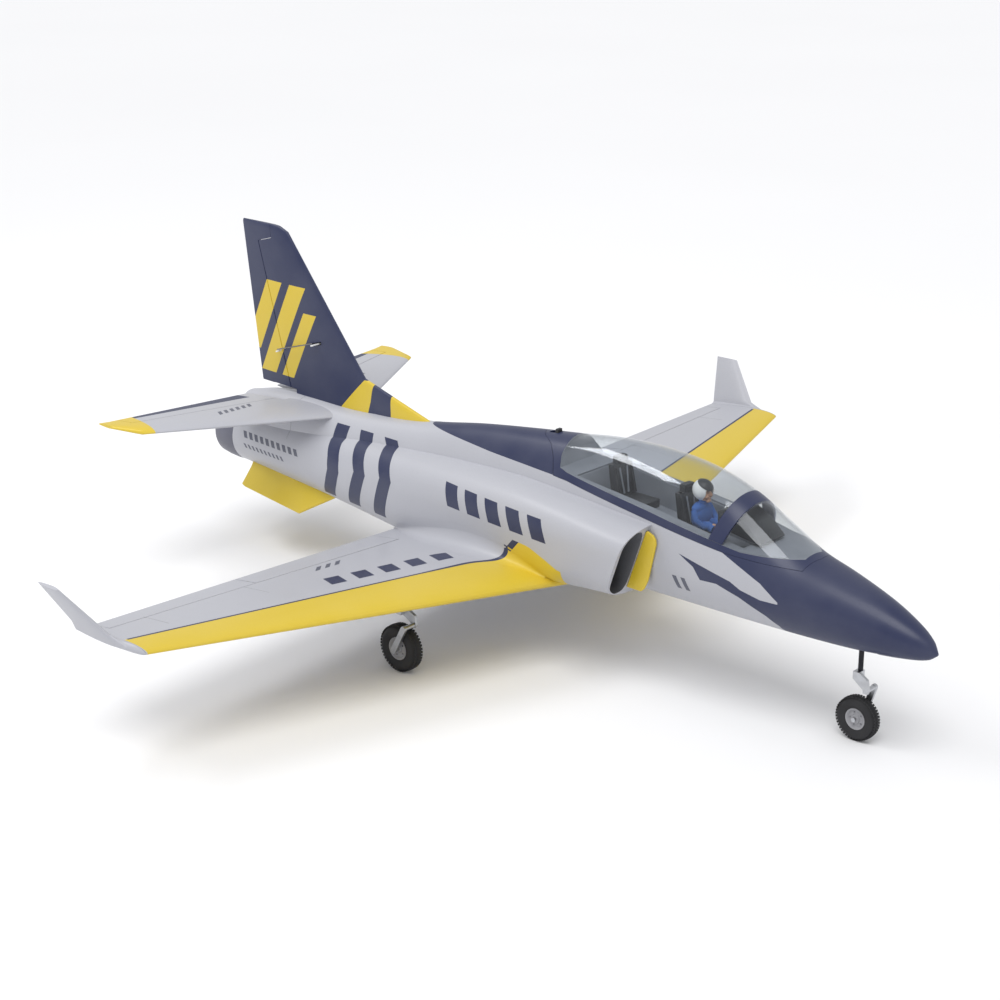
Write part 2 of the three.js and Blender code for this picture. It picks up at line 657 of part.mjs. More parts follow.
// Rudder linkage: the arm, the rod and the horn lie square to the hinge line.
const HINGE_LEAN = Math.atan2(FIN.hingeHigh.station - FIN.hingeLow.station, FIN.hingeHigh.z - FIN.hingeLow.z);
const linkPoint = (x, forward, up) => [
  x,
  finHinge(RUDDER_LINK.z) - forward * Math.cos(HINGE_LEAN) + up * Math.sin(HINGE_LEAN),
  RUDDER_LINK.z + forward * Math.sin(HINGE_LEAN) + up * Math.cos(HINGE_LEAN),
];

// A slab square to the hinge line, from an outline of [x, forward] points and its height range.
function linkSlab(points, low, high) {
  return loft([low, high].map((up) => points.map(([x, forward]) => {
    const [px, s, z] = linkPoint(x, forward, up);
    return [px, y(s), z];
  })));
}

const rectangle = (x0, x1, near, far) => [[x0, far], [x1, far], [x1, near], [x0, near]];

function makeFin() {
  const { low, high } = FIN;
  const chordAt = (z) => {
    const t = (z - low.z) / (high.z - low.z);
    const mix = (key) => THREE.MathUtils.lerp(low[key], high[key], t);
    return uprightSection(z, mix("front"), mix("rear"), mix("thick"));
  };
  const crown = uprightSection(high.z, high.front + 12, high.rear - 2, high.thick * 0.45);
  const whole = loft([chordAt(low.z), chordAt(260), chordAt(340), chordAt(high.z - 6), crown]);
  const dorsal = loft([
    uprightSection(188, 654, 820, 13.5),
    uprightSection(206, 676, 820, 9.5),
    uprightSection(237, 786, 830, 6),
  ]);
  const { arm, reach } = RUDDER_LINK;
  const servoBay = linkSlab(rectangle(-3.3, 3.3, reach - 14, reach + 14), -15, 2.2);
  const slot = linkSlab(rectangle(-9, -3, reach - 8, reach + 8), -1.6, 2.2);
  const fin = cut(join(whole, dorsal), CORE_GROWN, TRUNK_GROWN, rudderTool(HINGE_GAP), servoBay, slot);
  const seat = sideProfile([[860, 190], [860, 202.6], [1010, 201.6], [1010, 190]], -12, 12);
  const horn = linkSlab(
    [[-2, -9], [-2, -2.8], [-6.8, -2.4], [-arm + 1, 1.9], [-arm - 1.8, 1.8], [-arm - 1.8, -1.8]],
    -0.8,
    0.8,
  );
  addNode("tail_fin", fin.subtract(seat.intersect(rudderTool(2))), COLOUR.navy);
  addNode("rudder", join(whole.intersect(rudderTool(0)), horn), COLOUR.navy);
}

function makeRudderLinkage() {
  const { arm, reach } = RUDDER_LINK;
  const servo = linkSlab(rectangle(-2.9, 2.9, reach - 13, reach + 13), -14.5, -1.4);
  addNode("rudder_servo", servo, COLOUR.dark);
  const lever = linkSlab(
    [
      [2, reach - 3], [2, reach + 3], [-1, reach + 3.4],
      [-arm - 1.8, reach + 2], [-arm - 1.8, reach - 2], [-1, reach - 3.4],
    ],
    -0.9,
    0.9,
  );
  addNode("rudder_servo_arm", lever, COLOUR.dark);
  const rod = bar(linkPoint(-arm, 0, 2.2), linkPoint(-arm, reach, 2.2), 0.8, 0.8, 8);
  addNode("rudder_pushrod", rod, COLOUR.alloy, METAL);
}

function makeVentralFins() {
  const outline = [[796, -10], [967, -10], [967, 0], [972, 25], [966, 27], [862, 37], [856, 33], [806, 0]];
  const lean = radians(30);
  const point = ([s, depth], offset) => [
    27 + depth * Math.sin(lean) + offset * Math.cos(lean),
    y(s),
    94 - depth * Math.cos(lean) + offset * Math.sin(lean),
  ];
  const plate = loft([-1.8, 1.8].map((offset) => outline.map((p) => point(p, offset))));
  const strake = cut(plate, TRUNK_GROWN);
  forBothSides((name, side) => addNode(`ventral_fin_${name}`, sided(strake, side), COLOUR.yellow));
}

// ---------------------------------------------------------------- fan, duct and nozzle
function ring(front, rear, outer, inner) {
  const start = [front, inner[0]];
  return turned([start, [front, outer[0]], [rear, outer[1]], [rear, inner[1]], start], DUCT.z);
}

function makeFan() {
  const { front, rear, outer, sleeve } = FAN;
  const shroud = ring(front, rear, [outer, outer], [DUCT.fanRadius, outer - 2.2]);
  const mount = ring(front + 24, rear - 12, [sleeve, sleeve], [sleeve - 1.4, sleeve - 1.4]);
  const vane = (i) => {
    const geometry = new THREE.BoxGeometry(outer - 1 - sleeve, 14, 1.6);
    geometry.translate((outer - 2 + sleeve) / 2, 0, 0).rotateY((2 * Math.PI * i) / 5);
    return solidOf(geometry.translate(0, y(front + 32), DUCT.z));
  };
  addNode("fan_housing", join(shroud, mount, ...[0, 1, 2, 3, 4].map(vane)), COLOUR.dark);
  const along = (profile) => turned(profile.map(([s, r]) => [front + s, r]), DUCT.z, 20);
  const hub = along([[1, 0], [4, 8], [10, 13], [20, 13], [20, 0]]);
  const blades = Array.from({ length: 12 }, (_, i) => {
    const geometry = new THREE.BoxGeometry(22.4, 11, 1.2);
    geometry.rotateX(radians(40)).translate(12 + 11.2, 0, 0).rotateY((2 * Math.PI * i) / 12);
    return solidOf(geometry.translate(0, y(front + 14), DUCT.z));
  });
  addNode("fan_rotor", join(hub, ...blades), COLOUR.dark);
  const motor = along([[21, 0], [21, 13.8], [62, 13.8], [78, 7], [84, 0]]);
  addNode("fan_motor", motor, COLOUR.alloy, METAL);
}

function makeExhaust() {
  const [a, b] = [tubeRadius(TUBE.front), tubeRadius(TUBE.rear)];
  addNode("thrust_tube", ring(TUBE.front, TUBE.rear, [a, b], [a - DUCT.wall, b - DUCT.wall]), COLOUR.dark);
  const { front, outer, rim, bore } = NOZZLE;
  const profile = [
    [front + FIT, 33], [front + FIT, outer], [front + 10, outer + 0.4], [LENGTH, rim],
    [LENGTH, rim - 1.6], [TUBE.rear + 4, bore], [TUBE.rear + 1, bore], [TUBE.rear + 1, 33], [front + FIT, 33],
  ];
  addNode("exhaust_nozzle", turned(profile, DUCT.z), COLOUR.nozzle);
}

// ---------------------------------------------------------------- equipment in the bay
function makeEquipment() {
  const floor = BAY.floor + FIT;
  addNode("battery_tray", block([-26, 26], [BAY.front + 1, BAY.rear - 1], [floor, floor + 3]), COLOUR.wood);
  const deck = floor + 3 + FIT;
  addNode("flight_battery", block([-21, 21], [240, 352], [deck, deck + 24]), COLOUR.battery);
  addNode("speed_controller", block([-25, -3], [366, 426], [deck, deck + 12]), COLOUR.dark);
  addNode("receiver", block([3, 24], [370, 412], [deck, deck + 13]), COLOUR.cockpit);
}

// ---------------------------------------------------------------- landing gear
function tyreProfile(radius, width, inner) {
  const half = width / 2;
  const wall = (radius - inner) / 2;
  const arc = Array.from({ length: 9 }, (_, i) => {
    const turn = -Math.PI / 2 + (Math.PI * i) / 8;
    return [half * Math.sin(turn), radius - wall + wall * Math.cos(turn)];
  });
  const foot = half * 0.72;
  return [[-foot, inner], ...arc, [foot, inner], [-foot, inner]];
}

function hubProfile(radius, width, bore) {
  const half = width / 2;
  return [
    [-half, bore], [-half, bore + 2.6], [-half + 2.5, bore + 3.4], [-half + 2.5, radius - 2.6],
    [-half + 0.8, radius - 1.6], [-half + 0.8, radius],
    [half - 0.8, radius], [half - 0.8, radius - 1.6], [half - 2.5, radius - 2.6],
    [half - 2.5, bore + 3.4], [half, bore + 2.6], [half, bore], [-half, bore],
  ];
}

const AXLE = { radius: 1.5, bore: 1.75 };

function addWheel(prefix, ending, place, radius, width, side) {
  const rim = radius * 0.52;
  const tyre = wheelShape(tyreProfile(radius, width, rim + FIT), place);
  const hub = wheelShape(hubProfile(rim, width * 0.8, AXLE.bore), place);
  addNode(`${prefix}_tyre${ending}`, sided(tyre, side), COLOUR.tyre);
  addNode(`${prefix}_wheel_hub${ending}`, sided(hub, side), COLOUR.hub);
}

// Arm from its pivot beside the wheel to the axle, with the axle pin and its end collar.
function trailingArm(x, wheelX, width, pivot, axle) {
  const [near, far] = [wheelX + width / 2 + 1.2, wheelX + width / 2 + 4.6];
  const edge = armOutline(pivot, axle);
  const blade = loft([near, far].map((across) => edge.map(([s, z]) => [across, y(s), z])));
  const pin = bar([near + 1, ...axle], [wheelX - width * 0.4 - 1.4, ...axle], AXLE.radius, AXLE.radius, 12);
  const end = wheelX - width * 0.4;
  const collar = bar([end - 1.2, ...axle], [end - 3, ...axle], 2.4, 2.4, 12);
  const yoke = bar([near + 1, ...pivot], [x - 3, ...pivot], 2.6, 2.6, 12);
  return join(blade, pin, collar, yoke);
}

function armOutline(pivot, axle) {
  const [from, to] = [new THREE.Vector2(...pivot), new THREE.Vector2(...axle)];
  const along = to.clone().sub(from).angle();
  const cap = (centre, radius, start) =>
    Array.from({ length: 7 }, (_, i) => {
      const turn = along + start + (Math.PI * i) / 6;
      return [centre.x + radius * Math.cos(turn), centre.y + radius * Math.sin(turn)];
    });
  return [...cap(from, 3.2, Math.PI / 2), ...cap(to, 3.6, -Math.PI / 2)];
}

// Leg of a main or nose gear: trunnion boss, leg and the cast head that holds the arm's pivot.
function legHead(x, station, top, [pivotStation, pivotHeight]) {
  const head = sideProfile(
    [
      [station - 3.6, top], [station + 3.6, top], [station + 3.6, top - 8],
      [pivotStation + 3.4, pivotHeight + 1], [pivotStation + 2.6, pivotHeight - 2.6],
      [pivotStation - 2.6, pivotHeight - 2.6],
      [pivotStation - 3.4, pivotHeight + 1], [pivotStation - 1.6, top - 6],
    ],
    x - 6.8,
    x - 3.3,
  );
  const bridge = block([x - 6.8, x + 4], [station - 3.6, station + 3.6], [top - 7, top]);
  return join(head, bridge);
}

function makeMainGear() {
  const { x, station, wheel, width, pivot, armPivot } = MAIN;
  const place = [x, station, wheel];
  const base = block(MOUNT.x, MOUNT.s, MOUNT.z);
  const ear = (s) => block([x - 5, MOUNT.x[0] + 1], [s, s + 4], [pivot - 5, pivot + 5]);
  const pin = bar([x, station - 16, pivot], [x, station + 16, pivot], 1.5, 1.5, 12);
  const unit = join(base, ear(station - 18), ear(station + 14), pin);
  const boss = bar([x, station - 13.4, pivot], [x, station + 13.4, pivot], 5);
  const bore = bar([x, station - 20, pivot], [x, station + 20, pivot], 1.75, 1.75, 12);
  const leg = bar([x, station, pivot - 3], [x, station, 67], 3);
  const strut = join(boss.subtract(bore), leg.subtract(bore), legHead(x, station, 73, armPivot));
  const arm = trailingArm(x, x, width, armPivot, [station, wheel]);
  forBothSides((name, side) => {
    addNode(`main_retract_${name}`, sided(unit, side), COLOUR.dark);
    addNode(`main_strut_${name}`, sided(strut, side), COLOUR.alloy, METAL);
    addNode(`main_trailing_arm_${name}`, sided(arm, side), COLOUR.alloy, METAL);
    addWheel("main", `_${name}`, place, wheel, width, side);
  });
}

function makeNoseGear() {
  const { station, wheel, width, pivot, axle, armPivot } = NOSE;
  const base = block([-12, 12], [59, 77], [106, 134]);
  const ear = (x) => block([x, x + 3], [76, 91], [pivot - 5, pivot + 5]);
  const pin = bar([-10, station, pivot], [10, station, pivot], 1.5, 1.5, 12);
  addNode("nose_retract", join(base, ear(-12), ear(9), pin), COLOUR.dark);
  const carrier = block([-8.4, 8.4], [station - 5, station + 5], [pivot - 8, pivot + 5]);
  const shaftHole = bar([0, station, 90], [0, station, pivot - 3], 2.3);
  const pinHole = bar([-12, station, pivot], [12, station, pivot], 1.75, 1.75, 12);
  addNode("nose_trunnion", cut(carrier, shaftHole, pinHole), COLOUR.alloy, METAL);
  const leg = bar([0, station, pivot - 3.6], [0, station, 66], 2);
  const collar = bar([0, station, pivot - 8.5], [0, station, pivot - 12.5], 4);
  addNode("nose_strut", join(leg, collar, legHead(0, station, 76, armPivot)), COLOUR.alloy, METAL);
  addNode("nose_trailing_arm", trailingArm(0, 0, width, armPivot, axle), COLOUR.alloy, METAL);
  addWheel("nose", "", [0, axle[0], wheel], wheel, width, 1);
}

makeFuselage();
makeSplitters();
makeHatch();
makeLatch();
makeSeat("front_seat", SEATS.front);
makeSeat("rear_seat", SEATS.rear);
makePilot();
makeHood();
makeWings();
makeWinglets();
makeTailplanes();
makeFin();
makeRudderLinkage();
makeVentralFins();
makeFan();
makeExhaust();
makeEquipment();
makeNoseGear();
makeMainGear();

export default jet;
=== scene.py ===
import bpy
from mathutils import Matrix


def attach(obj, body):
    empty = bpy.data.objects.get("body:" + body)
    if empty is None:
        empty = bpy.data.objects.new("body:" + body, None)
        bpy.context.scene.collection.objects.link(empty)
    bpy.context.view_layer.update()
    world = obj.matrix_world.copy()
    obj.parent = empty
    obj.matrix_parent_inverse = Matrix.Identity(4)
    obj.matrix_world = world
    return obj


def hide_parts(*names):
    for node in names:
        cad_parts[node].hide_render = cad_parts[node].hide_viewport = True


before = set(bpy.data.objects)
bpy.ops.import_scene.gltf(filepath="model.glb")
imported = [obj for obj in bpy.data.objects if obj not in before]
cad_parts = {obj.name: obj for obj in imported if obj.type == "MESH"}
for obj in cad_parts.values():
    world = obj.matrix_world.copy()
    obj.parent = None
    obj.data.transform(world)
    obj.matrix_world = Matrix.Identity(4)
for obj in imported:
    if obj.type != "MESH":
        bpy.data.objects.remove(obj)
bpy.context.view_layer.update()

import math

import bmesh
import bpy
from mathutils import Matrix, Vector

# Lengths below are in millimetres. A station is the distance back from the tip of the nose.
MM = 0.001
MIDDLE = 514
FULL = 2 * math.pi
ACROSS, BACK, UP = Vector((1, 0, 0)), Vector((0, 1, 0)), Vector((0, 0, 1))
SIDES = {"left": 1, "right": -1}
FIT = 0.35  # gap between parts that fit into one another


def spot(x, s, z):
    return Vector((x, s - MIDDLE, z)) * MM


# ------------------------------------------------------------ forms
def loft(rings):
    """A closed skin through rings of points, each ring with the same number of points."""
    form = bmesh.new()
    ring = bmesh.ops.create_circle(form, segments=len(rings[0]), radius=1)["verts"]
    edges = list(form.edges)
    for vertex, place in zip(ring, rings[0]):
        vertex.co = place
    for places in rings[1:]:
        made = bmesh.ops.extrude_edge_only(form, edges=edges)["geom"]
        fresh = {item for item in made if isinstance(item, bmesh.types.BMVert)}
        ring = [next(e.other_vert(v) for e in v.link_edges if e.other_vert(v) in fresh) for v in ring]
        edges = [item for item in made if isinstance(item, bmesh.types.BMEdge)]
        edges = [edge for edge in edges if edge.verts[0] in fresh and edge.verts[1] in fresh]
        for vertex, place in zip(ring, places):
            vertex.co = place
    bmesh.ops.holes_fill(form, edges=form.edges, sides=0)
    bmesh.ops.recalc_face_normals(form, faces=form.faces)
    return form


def turned(profile, centre, axis, steps=48):
    """A solid of revolution. The profile holds (distance along the axis, radius)."""
    form = bmesh.new()
    axis = axis.normalized()
    out = axis.orthogonal().normalized()
    chain = [form.verts.new(centre + (axis * along + out * radius) * MM) for along, radius in profile]
    edges = [form.edges.new(pair) for pair in zip(chain, chain[1:])]
    bmesh.ops.spin(
        form, geom=chain + edges, cent=centre, axis=axis, angle=FULL, steps=steps,
        use_merge=True, use_duplicate=False,
    )
    bmesh.ops.remove_doubles(form, verts=form.verts, dist=1e-6)
    bmesh.ops.recalc_face_normals(form, faces=form.faces)
    return form


def block(x, s, z, round_off=0, segments=2):
    """A box between pairs of limits, its edges rounded."""
    form = bmesh.new()
    low, high = spot(x[0], s[0], z[0]), spot(x[1], s[1], z[1])
    size = high - low
    place = Matrix.Translation((low + high) / 2) @ Matrix.Diagonal((*size, 1))
    bmesh.ops.create_cube(form, size=1, matrix=place)
    if round_off:
        soften(form, form.edges, round_off, segments)
    return form


def soften(form, edges, width, segments=2):
    bmesh.ops.bevel(
        form, geom=list(edges), offset=width * MM, offset_type="OFFSET", affect="EDGES",
        segments=segments, profile=0.5, material=-1, clamp_overlap=True,
    )


def plate(outline, depth, round_off=0):
    """A flat plate from its outline's points, carried along the depth vector."""
    form = bmesh.new()
    corners = [form.verts.new(point) for point in outline]
    face = bmesh.ops.contextual_create(form, geom=corners)["faces"]
    made = bmesh.ops.extrude_face_region(form, geom=face, use_keep_orig=True)["geom"]
    moved = [item for item in made if isinstance(item, bmesh.types.BMVert)]
    bmesh.ops.translate(form, verts=moved, vec=depth)
    bmesh.ops.recalc_face_normals(form, faces=form.faces)
    if round_off:
        soften(form, form.edges, round_off)
    return form


def tube(path, radius, sides=12):
    """A round rod or wire along a path of points."""
    rings = []
    side = None
    for i, point in enumerate(path):
        ahead = path[min(i + 1, len(path) - 1)] - path[max(i - 1, 0)]
        ahead.normalize()
        side = ahead.orthogonal() if side is None else side - ahead * side.dot(ahead)
        side.normalize()
        other = ahead.cross(side)
        turns = [FULL * k / sides for k in range(sides)]
        rings.append([point + (side * math.cos(a) + other * math.sin(a)) * radius * MM for a in turns])
    return loft(rings)


def rod(start, end, radius, sides=16):
    return tube([start, end], radius, sides)


def ball(centre, radius, stretch=(1, 1, 1), rings=16):
    form = bmesh.new()
    place = Matrix.Translation(centre) @ Matrix.Diagonal((*stretch, 1))
    bmesh.ops.create_uvsphere(
        form, u_segments=rings * 2, v_segments=rings, radius=radius * MM, matrix=place,
    )
    return form


def grouped(*forms):
    """Several forms in one mesh."""
    whole = forms[0]
    for form in forms[1:]:
        spare = bpy.data.meshes.new("spare")
        form.to_mesh(spare)
        form.free()
        whole.from_mesh(spare)
        bpy.data.meshes.remove(spare)
    return whole


def mirrored(form, side):
    """The form itself for the left side, or its mirror image for the right side."""
    if side < 0:
        bmesh.ops.scale(form, vec=(-1, 1, 1), verts=form.verts)
        bmesh.ops.reverse_faces(form, faces=form.faces)
    return form


# ------------------------------------------------------------ pieces
def placed(name, data):
    """A new object in the scene for a mesh, a camera or a lamp."""
    piece = bpy.data.objects.new(name, data)
    bpy.context.scene.collection.objects.link(piece)
    return piece


def raw(name, form, finishes=(), index=0):
    data = bpy.data.meshes.new(name)
    for face in form.faces:
        face.material_index = index
    form.to_mesh(data)
    form.free()
    for finish in finishes:
        data.materials.append(finish)
    return placed(name, data)


def drop(piece):
    """Removes a helper piece with its mesh."""
    data = piece.data
    bpy.data.objects.remove(piece)
    bpy.data.meshes.remove(data)


def taken(piece):
    """The form of a helper piece, which is removed."""
    form = bmesh.new()
    form.from_mesh(piece.data)
    drop(piece)
    return form


def settle(piece, body, stands_for=(), sharp=32):
    """Shades a piece and fixes it to its body."""
    piece.data.shade_smooth()
    piece.data.set_sharp_from_angle(angle=math.radians(sharp))
    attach(piece, body)
    if stands_for:
        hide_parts(*stands_for)
    return piece


def add(name, form, finish, body, stands_for=(), sharp=32):
    return settle(raw(name, form, [finish]), body, stands_for, sharp)


def carve(piece, form, operation="DIFFERENCE", index=0):
    """Cuts, joins or keeps what a piece shares with another form."""
    tool = raw("tool", form, piece.data.materials, index)
    change = piece.modifiers.new("carve", "BOOLEAN")
    change.operation = operation
    change.solver = "EXACT"
    change.object = tool
    view = bpy.context.evaluated_depsgraph_get()
    data = bpy.data.meshes.new_from_object(piece.evaluated_get(view))
    piece.modifiers.clear()
    old = piece.data
    piece.data = data
    data.name = piece.name
    bpy.data.meshes.remove(old)
    drop(tool)
    return piece


def merged(node):
    """A welded copy of a frame node's mesh."""
    form = bmesh.new()
    form.from_mesh(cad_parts[node].data)
    bmesh.ops.remove_doubles(form, verts=form.verts, dist=2e-6)
    bmesh.ops.dissolve_limit(form, angle_limit=0.01, verts=form.verts, edges=form.edges)
    return form


def copied(node, finish, body, slot, round_off):
    """A node's own shape with rounded edges."""
    piece = add(f"{node}_shown", merged(node), finish, body, [node])
    bevel = piece.modifiers.new("rounded", "BEVEL")
    bevel.width = round_off * MM
    bevel.segments = 2
    bevel.limit_method = "ANGLE"
    bevel.angle_limit = math.radians(35)


# ------------------------------------------------------------ shader sums
def joined(operation, swapped=False):
    """A method that joins a value and another one by a maths node."""
    def join(self, other):
        pair = (other, self) if swapped else (self, other)
        return self.maths(operation, *pair)
    return join


class Value:
    """A node socket that takes part in sums and comparisons."""

    def __init__(self, finish, socket):
        self.finish = finish
        self.socket = socket

    def maths(self, operation, *values):
        settings = {"operation": operation}
        return self.finish.node("ShaderNodeMath", settings, dict(enumerate(values)))

    __add__, __radd__ = joined("ADD"), joined("ADD", True)
    __sub__, __rsub__ = joined("SUBTRACT"), joined("SUBTRACT", True)
    __mul__, __rmul__ = joined("MULTIPLY"), joined("MULTIPLY", True)
    __truediv__ = joined("DIVIDE")
    __gt__, __lt__ = joined("GREATER_THAN"), joined("LESS_THAN")
    __and__, __or__ = joined("MINIMUM"), joined("MAXIMUM")

    def __abs__(self):
        return self.maths("ABSOLUTE", self)

    def fraction(self):
        return self.maths("FRACT", self)

    def within(self, low, high):
        return (self > low) & (self < high)


class Finish:
    """A material built on one Principled shader, with coordinates in millimetres."""

    def __init__(self, name):
        self.material = bpy.data.materials.new(name)
        self.material.use_nodes = True
        self.tree = self.material.node_tree
        self.tree.nodes.clear()
        self.surface = self.tree.nodes.new("ShaderNodeBsdfPrincipled")
        self.output = self.tree.nodes.new("ShaderNodeOutputMaterial")
        self.tree.links.new(self.surface.outputs[0], self.output.inputs["Surface"])
        self.place = self.node("ShaderNodeTexCoord", output="Object")
        parts = [self.node("ShaderNodeSeparateXYZ", (), {0: self.place}, axis) for axis in "XYZ"]
        self.x = parts[0] / MM
        self.s = parts[1] / MM + MIDDLE
        self.z = parts[2] / MM
        self.side = abs(self.x)

    def node(self, kind, settings=(), inputs=(), output=0):
        made = self.tree.nodes.new(kind)
        for key, value in dict(settings).items():
            setattr(made, key, value)
        for key, value in dict(inputs).items():
            self.feed(made.inputs[key], value)
        return Value(self, made.outputs[output])

    def feed(self, socket, value):
        if isinstance(value, Value):
            self.tree.links.new(value.socket, socket)
        else:
            socket.default_value = value

    def set(self, **values):
        for name, value in values.items():
            self.feed(self.surface.inputs[name.replace("_", " ")], value)
        return self

    def blend(self, mask, under, over):
        settings = {"data_type": "RGBA"}
        return self.node("ShaderNodeMix", settings, {0: mask, 6: under, 7: over}, 2)

    def noise(self, size, detail=2.0, roughness=0.5, stretch=None):
        place = self.place
        if stretch:
            place = self.node("ShaderNodeMapping", (), {"Vector": place, "Scale": stretch})
        values = {"Vector": place, "Scale": 1 / (size * MM), "Detail": detail, "Roughness": roughness}
        return self.node("ShaderNodeTexNoise", (), values)

    def cells(self, size, feature="F1"):
        values = {"Vector": self.place, "Scale": 1 / (size * MM)}
        return self.node("ShaderNodeTexVoronoi", {"feature": feature}, values)

    def course(self, along, points):
        """A height that follows straight stretches between (position, height) points."""
        total = points[0][1]
        for (p0, v0), (p1, v1) in zip(points, points[1:]):
            values = {"Value": along, "From Min": p0, "From Max": p1, "To Min": 0, "To Max": v1 - v0}
            total = self.node("ShaderNodeMapRange", (), values) + total
        return total

    def ramp(self, value, low, high, start=0.0, end=1.0):
        values = {"Value": value, "From Min": low, "From Max": high, "To Min": start, "To Max": end}
        return self.node("ShaderNodeMapRange", (), values)

    def bump(self, height, depth, strength=1.0, under=None):
        values = {"Height": height, "Distance": depth * MM, "Strength": strength}
        if under:
            values["Normal"] = under
        return self.node("ShaderNodeBump", (), values)


def tone(red, green, blue):
    """A colour from display values of 0 to 255."""
    def straight(value):
        value /= 255
        return value / 12.92 if value <= 0.04045 else ((value + 0.055) / 1.055) ** 2.4
    return (straight(red), straight(green), straight(blue), 1.0)


GREY = tone(176, 177, 184)
NAVY = tone(29, 38, 74)
YELLOW = tone(212, 184, 44)
MARK_GREY = tone(84, 87, 102)


# ------------------------------------------------------------ painted foam
NO_GROOVE = 0.0


def foam(name, paint, roughness=0.42):
    """Satin paint over moulded bead foam. The paint gives a colour and the depth of its grooves."""
    f = Finish(name)
    colour, groove = paint(f)
    beads = f.cells(2.6, "DISTANCE_TO_EDGE")
    mottle = f.noise(55, 3)
    fine = f.noise(0.9, 2)
    worn = f.blend(f.ramp(mottle, 0.35, 0.65, 0, 0.02), colour, tone(235, 236, 240))
    seam = f.ramp(beads, 0.0, 0.10, 1, 0)
    worn = f.blend(seam * 0.03, worn, tone(20, 22, 30))
    worn = f.blend(groove * 0.4, worn, tone(22, 23, 30))
    f.set(Base_Color=worn, Roughness=f.ramp(fine + mottle, 0.7, 1.3, roughness - 0.05, roughness + 0.09))
    f.surface.inputs["Coat Roughness"].default_value = 0.22
    f.surface.inputs["Coat Weight"].default_value = 0.12
    skin = f.bump(f.ramp(beads, 0, 0.25) * 0.6 + fine * 0.5, 0.05, 0.5)
    f.set(Normal=f.bump(1 - groove, 0.5, 0.8, skin))
    return f.material


def line(value, at, width):
    return abs(value - at) < width


UNDER_GLASS = [
    (154, 139.8), (178, 156.9), (202.7, 168.1), (226, 178.7), (245.8, 183), (333.5, 190.8),
    (437, 204), (560, 204.8), (690, 209),
]
SPEAR_TOP = [(154, 139.8), (177, 139.8), (200, 145), (212, 151), (276.4, 165.3)]
SPEAR_LOW = [
    (157, 100), (160, 112.7), (171.7, 122.6), (178.1, 125.7), (201.1, 136.4), (228.3, 144.5),
    (248.2, 143.6), (257.2, 155.4), (276.4, 165.3),
]
BANDS = [
    [(97, 811), (117, 800.5), (133, 795), (148, 796.5), (165, 802.5), (184, 799.8)],
    [(101, 761), (123, 752.7), (142, 745.5), (169, 758), (184, 760)],
    [(102, 712.5), (118, 707), (146.5, 697.4), (169.5, 709.6), (184, 719.7)],
]
ROOT_YELLOW = [
    (404, 121), (410, 121.6), (426.5, 128.3), (449, 135.7), (456, 136.8), (470, 137.5), (520, 139),
]
NAVY_NOSE = 157
NAVY_SPINE_REAR = 690
SPEAR_REAR = 276.4
BAND_HALF = 10.8
SIDE_BARS = (425, 596, 147, 171)
TAIL_BARS = [((862, 971, 134, 142), 11, 0.6, -0.5), ((890, 970, 121, 126.5), 8, 0.5, -0.7)]
NOSE_BARS = (262, 283, 126, 140)


def slanted_bars(f, along, up, box, pitch, fill, slant):
    """A row of slanted bars in a box of (from, to, low, high)."""
    from_, to, low, high = box
    lean = along + (up - low) * slant
    stripes = ((lean - from_) / pitch).fraction() < fill
    return lean.within(from_, to) & up.within(low, high) & stripes


def hull_paint(f):
    """Grey sides, navy nose and spine, three navy bands and plain bars for the side marks."""
    spine = (f.z > f.course(f.s, UNDER_GLASS)) & (f.s < NAVY_SPINE_REAR)
    spear = (f.z < f.course(f.s, SPEAR_TOP)) & (f.z > f.course(f.s, SPEAR_LOW)) & (f.s < SPEAR_REAR)
    navy = (f.s < NAVY_NOSE) | spine | spear
    for points in BANDS:
        navy = navy | ((abs(f.s - f.course(f.z, points)) < BAND_HALF) & f.z.within(98, 184))
    flank = f.side > 20
    navy = navy | (slanted_bars(f, f.s, f.z, SIDE_BARS, 34.4, 0.62, -0.45) & flank)
    dark = slanted_bars(f, f.s, f.z, NOSE_BARS, 11, 0.5, -0.4)
    for bars in TAIL_BARS:
        dark = dark | slanted_bars(f, f.s, f.z, *bars)
    dark = dark & flank
    rim = f.s - ((139 - f.z) * 0.9 + 470)
    low = (f.z < f.course(f.s, ROOT_YELLOW)) & (f.side > 55)
    yellow = low & (rim < 0) & (f.s > 404)
    navy = navy | (low & (abs(rim) < 5))
    colour = f.blend(yellow, GREY, YELLOW)
    colour = f.blend(navy, colour, NAVY)
    colour = f.blend(dark, colour, MARK_GREY)
    return colour, line(f.s, 888, 0.3) & (f.z > 150)


def navy_paint(f):
    return f.blend(f.ramp(f.noise(90), 0.3, 0.7, 0, 0.03), NAVY, tone(60, 70, 104)), NO_GROOVE


PINSTRIPE = {"root": 486.176, "sweep": 0.208}
SWEEP_FORWARD = 34
WING_BARS = (114, 265, 26, 52)
SMALL_WING_BARS = (203, 238, 622, 634)
HINGE_TRACKS = (323, 455)


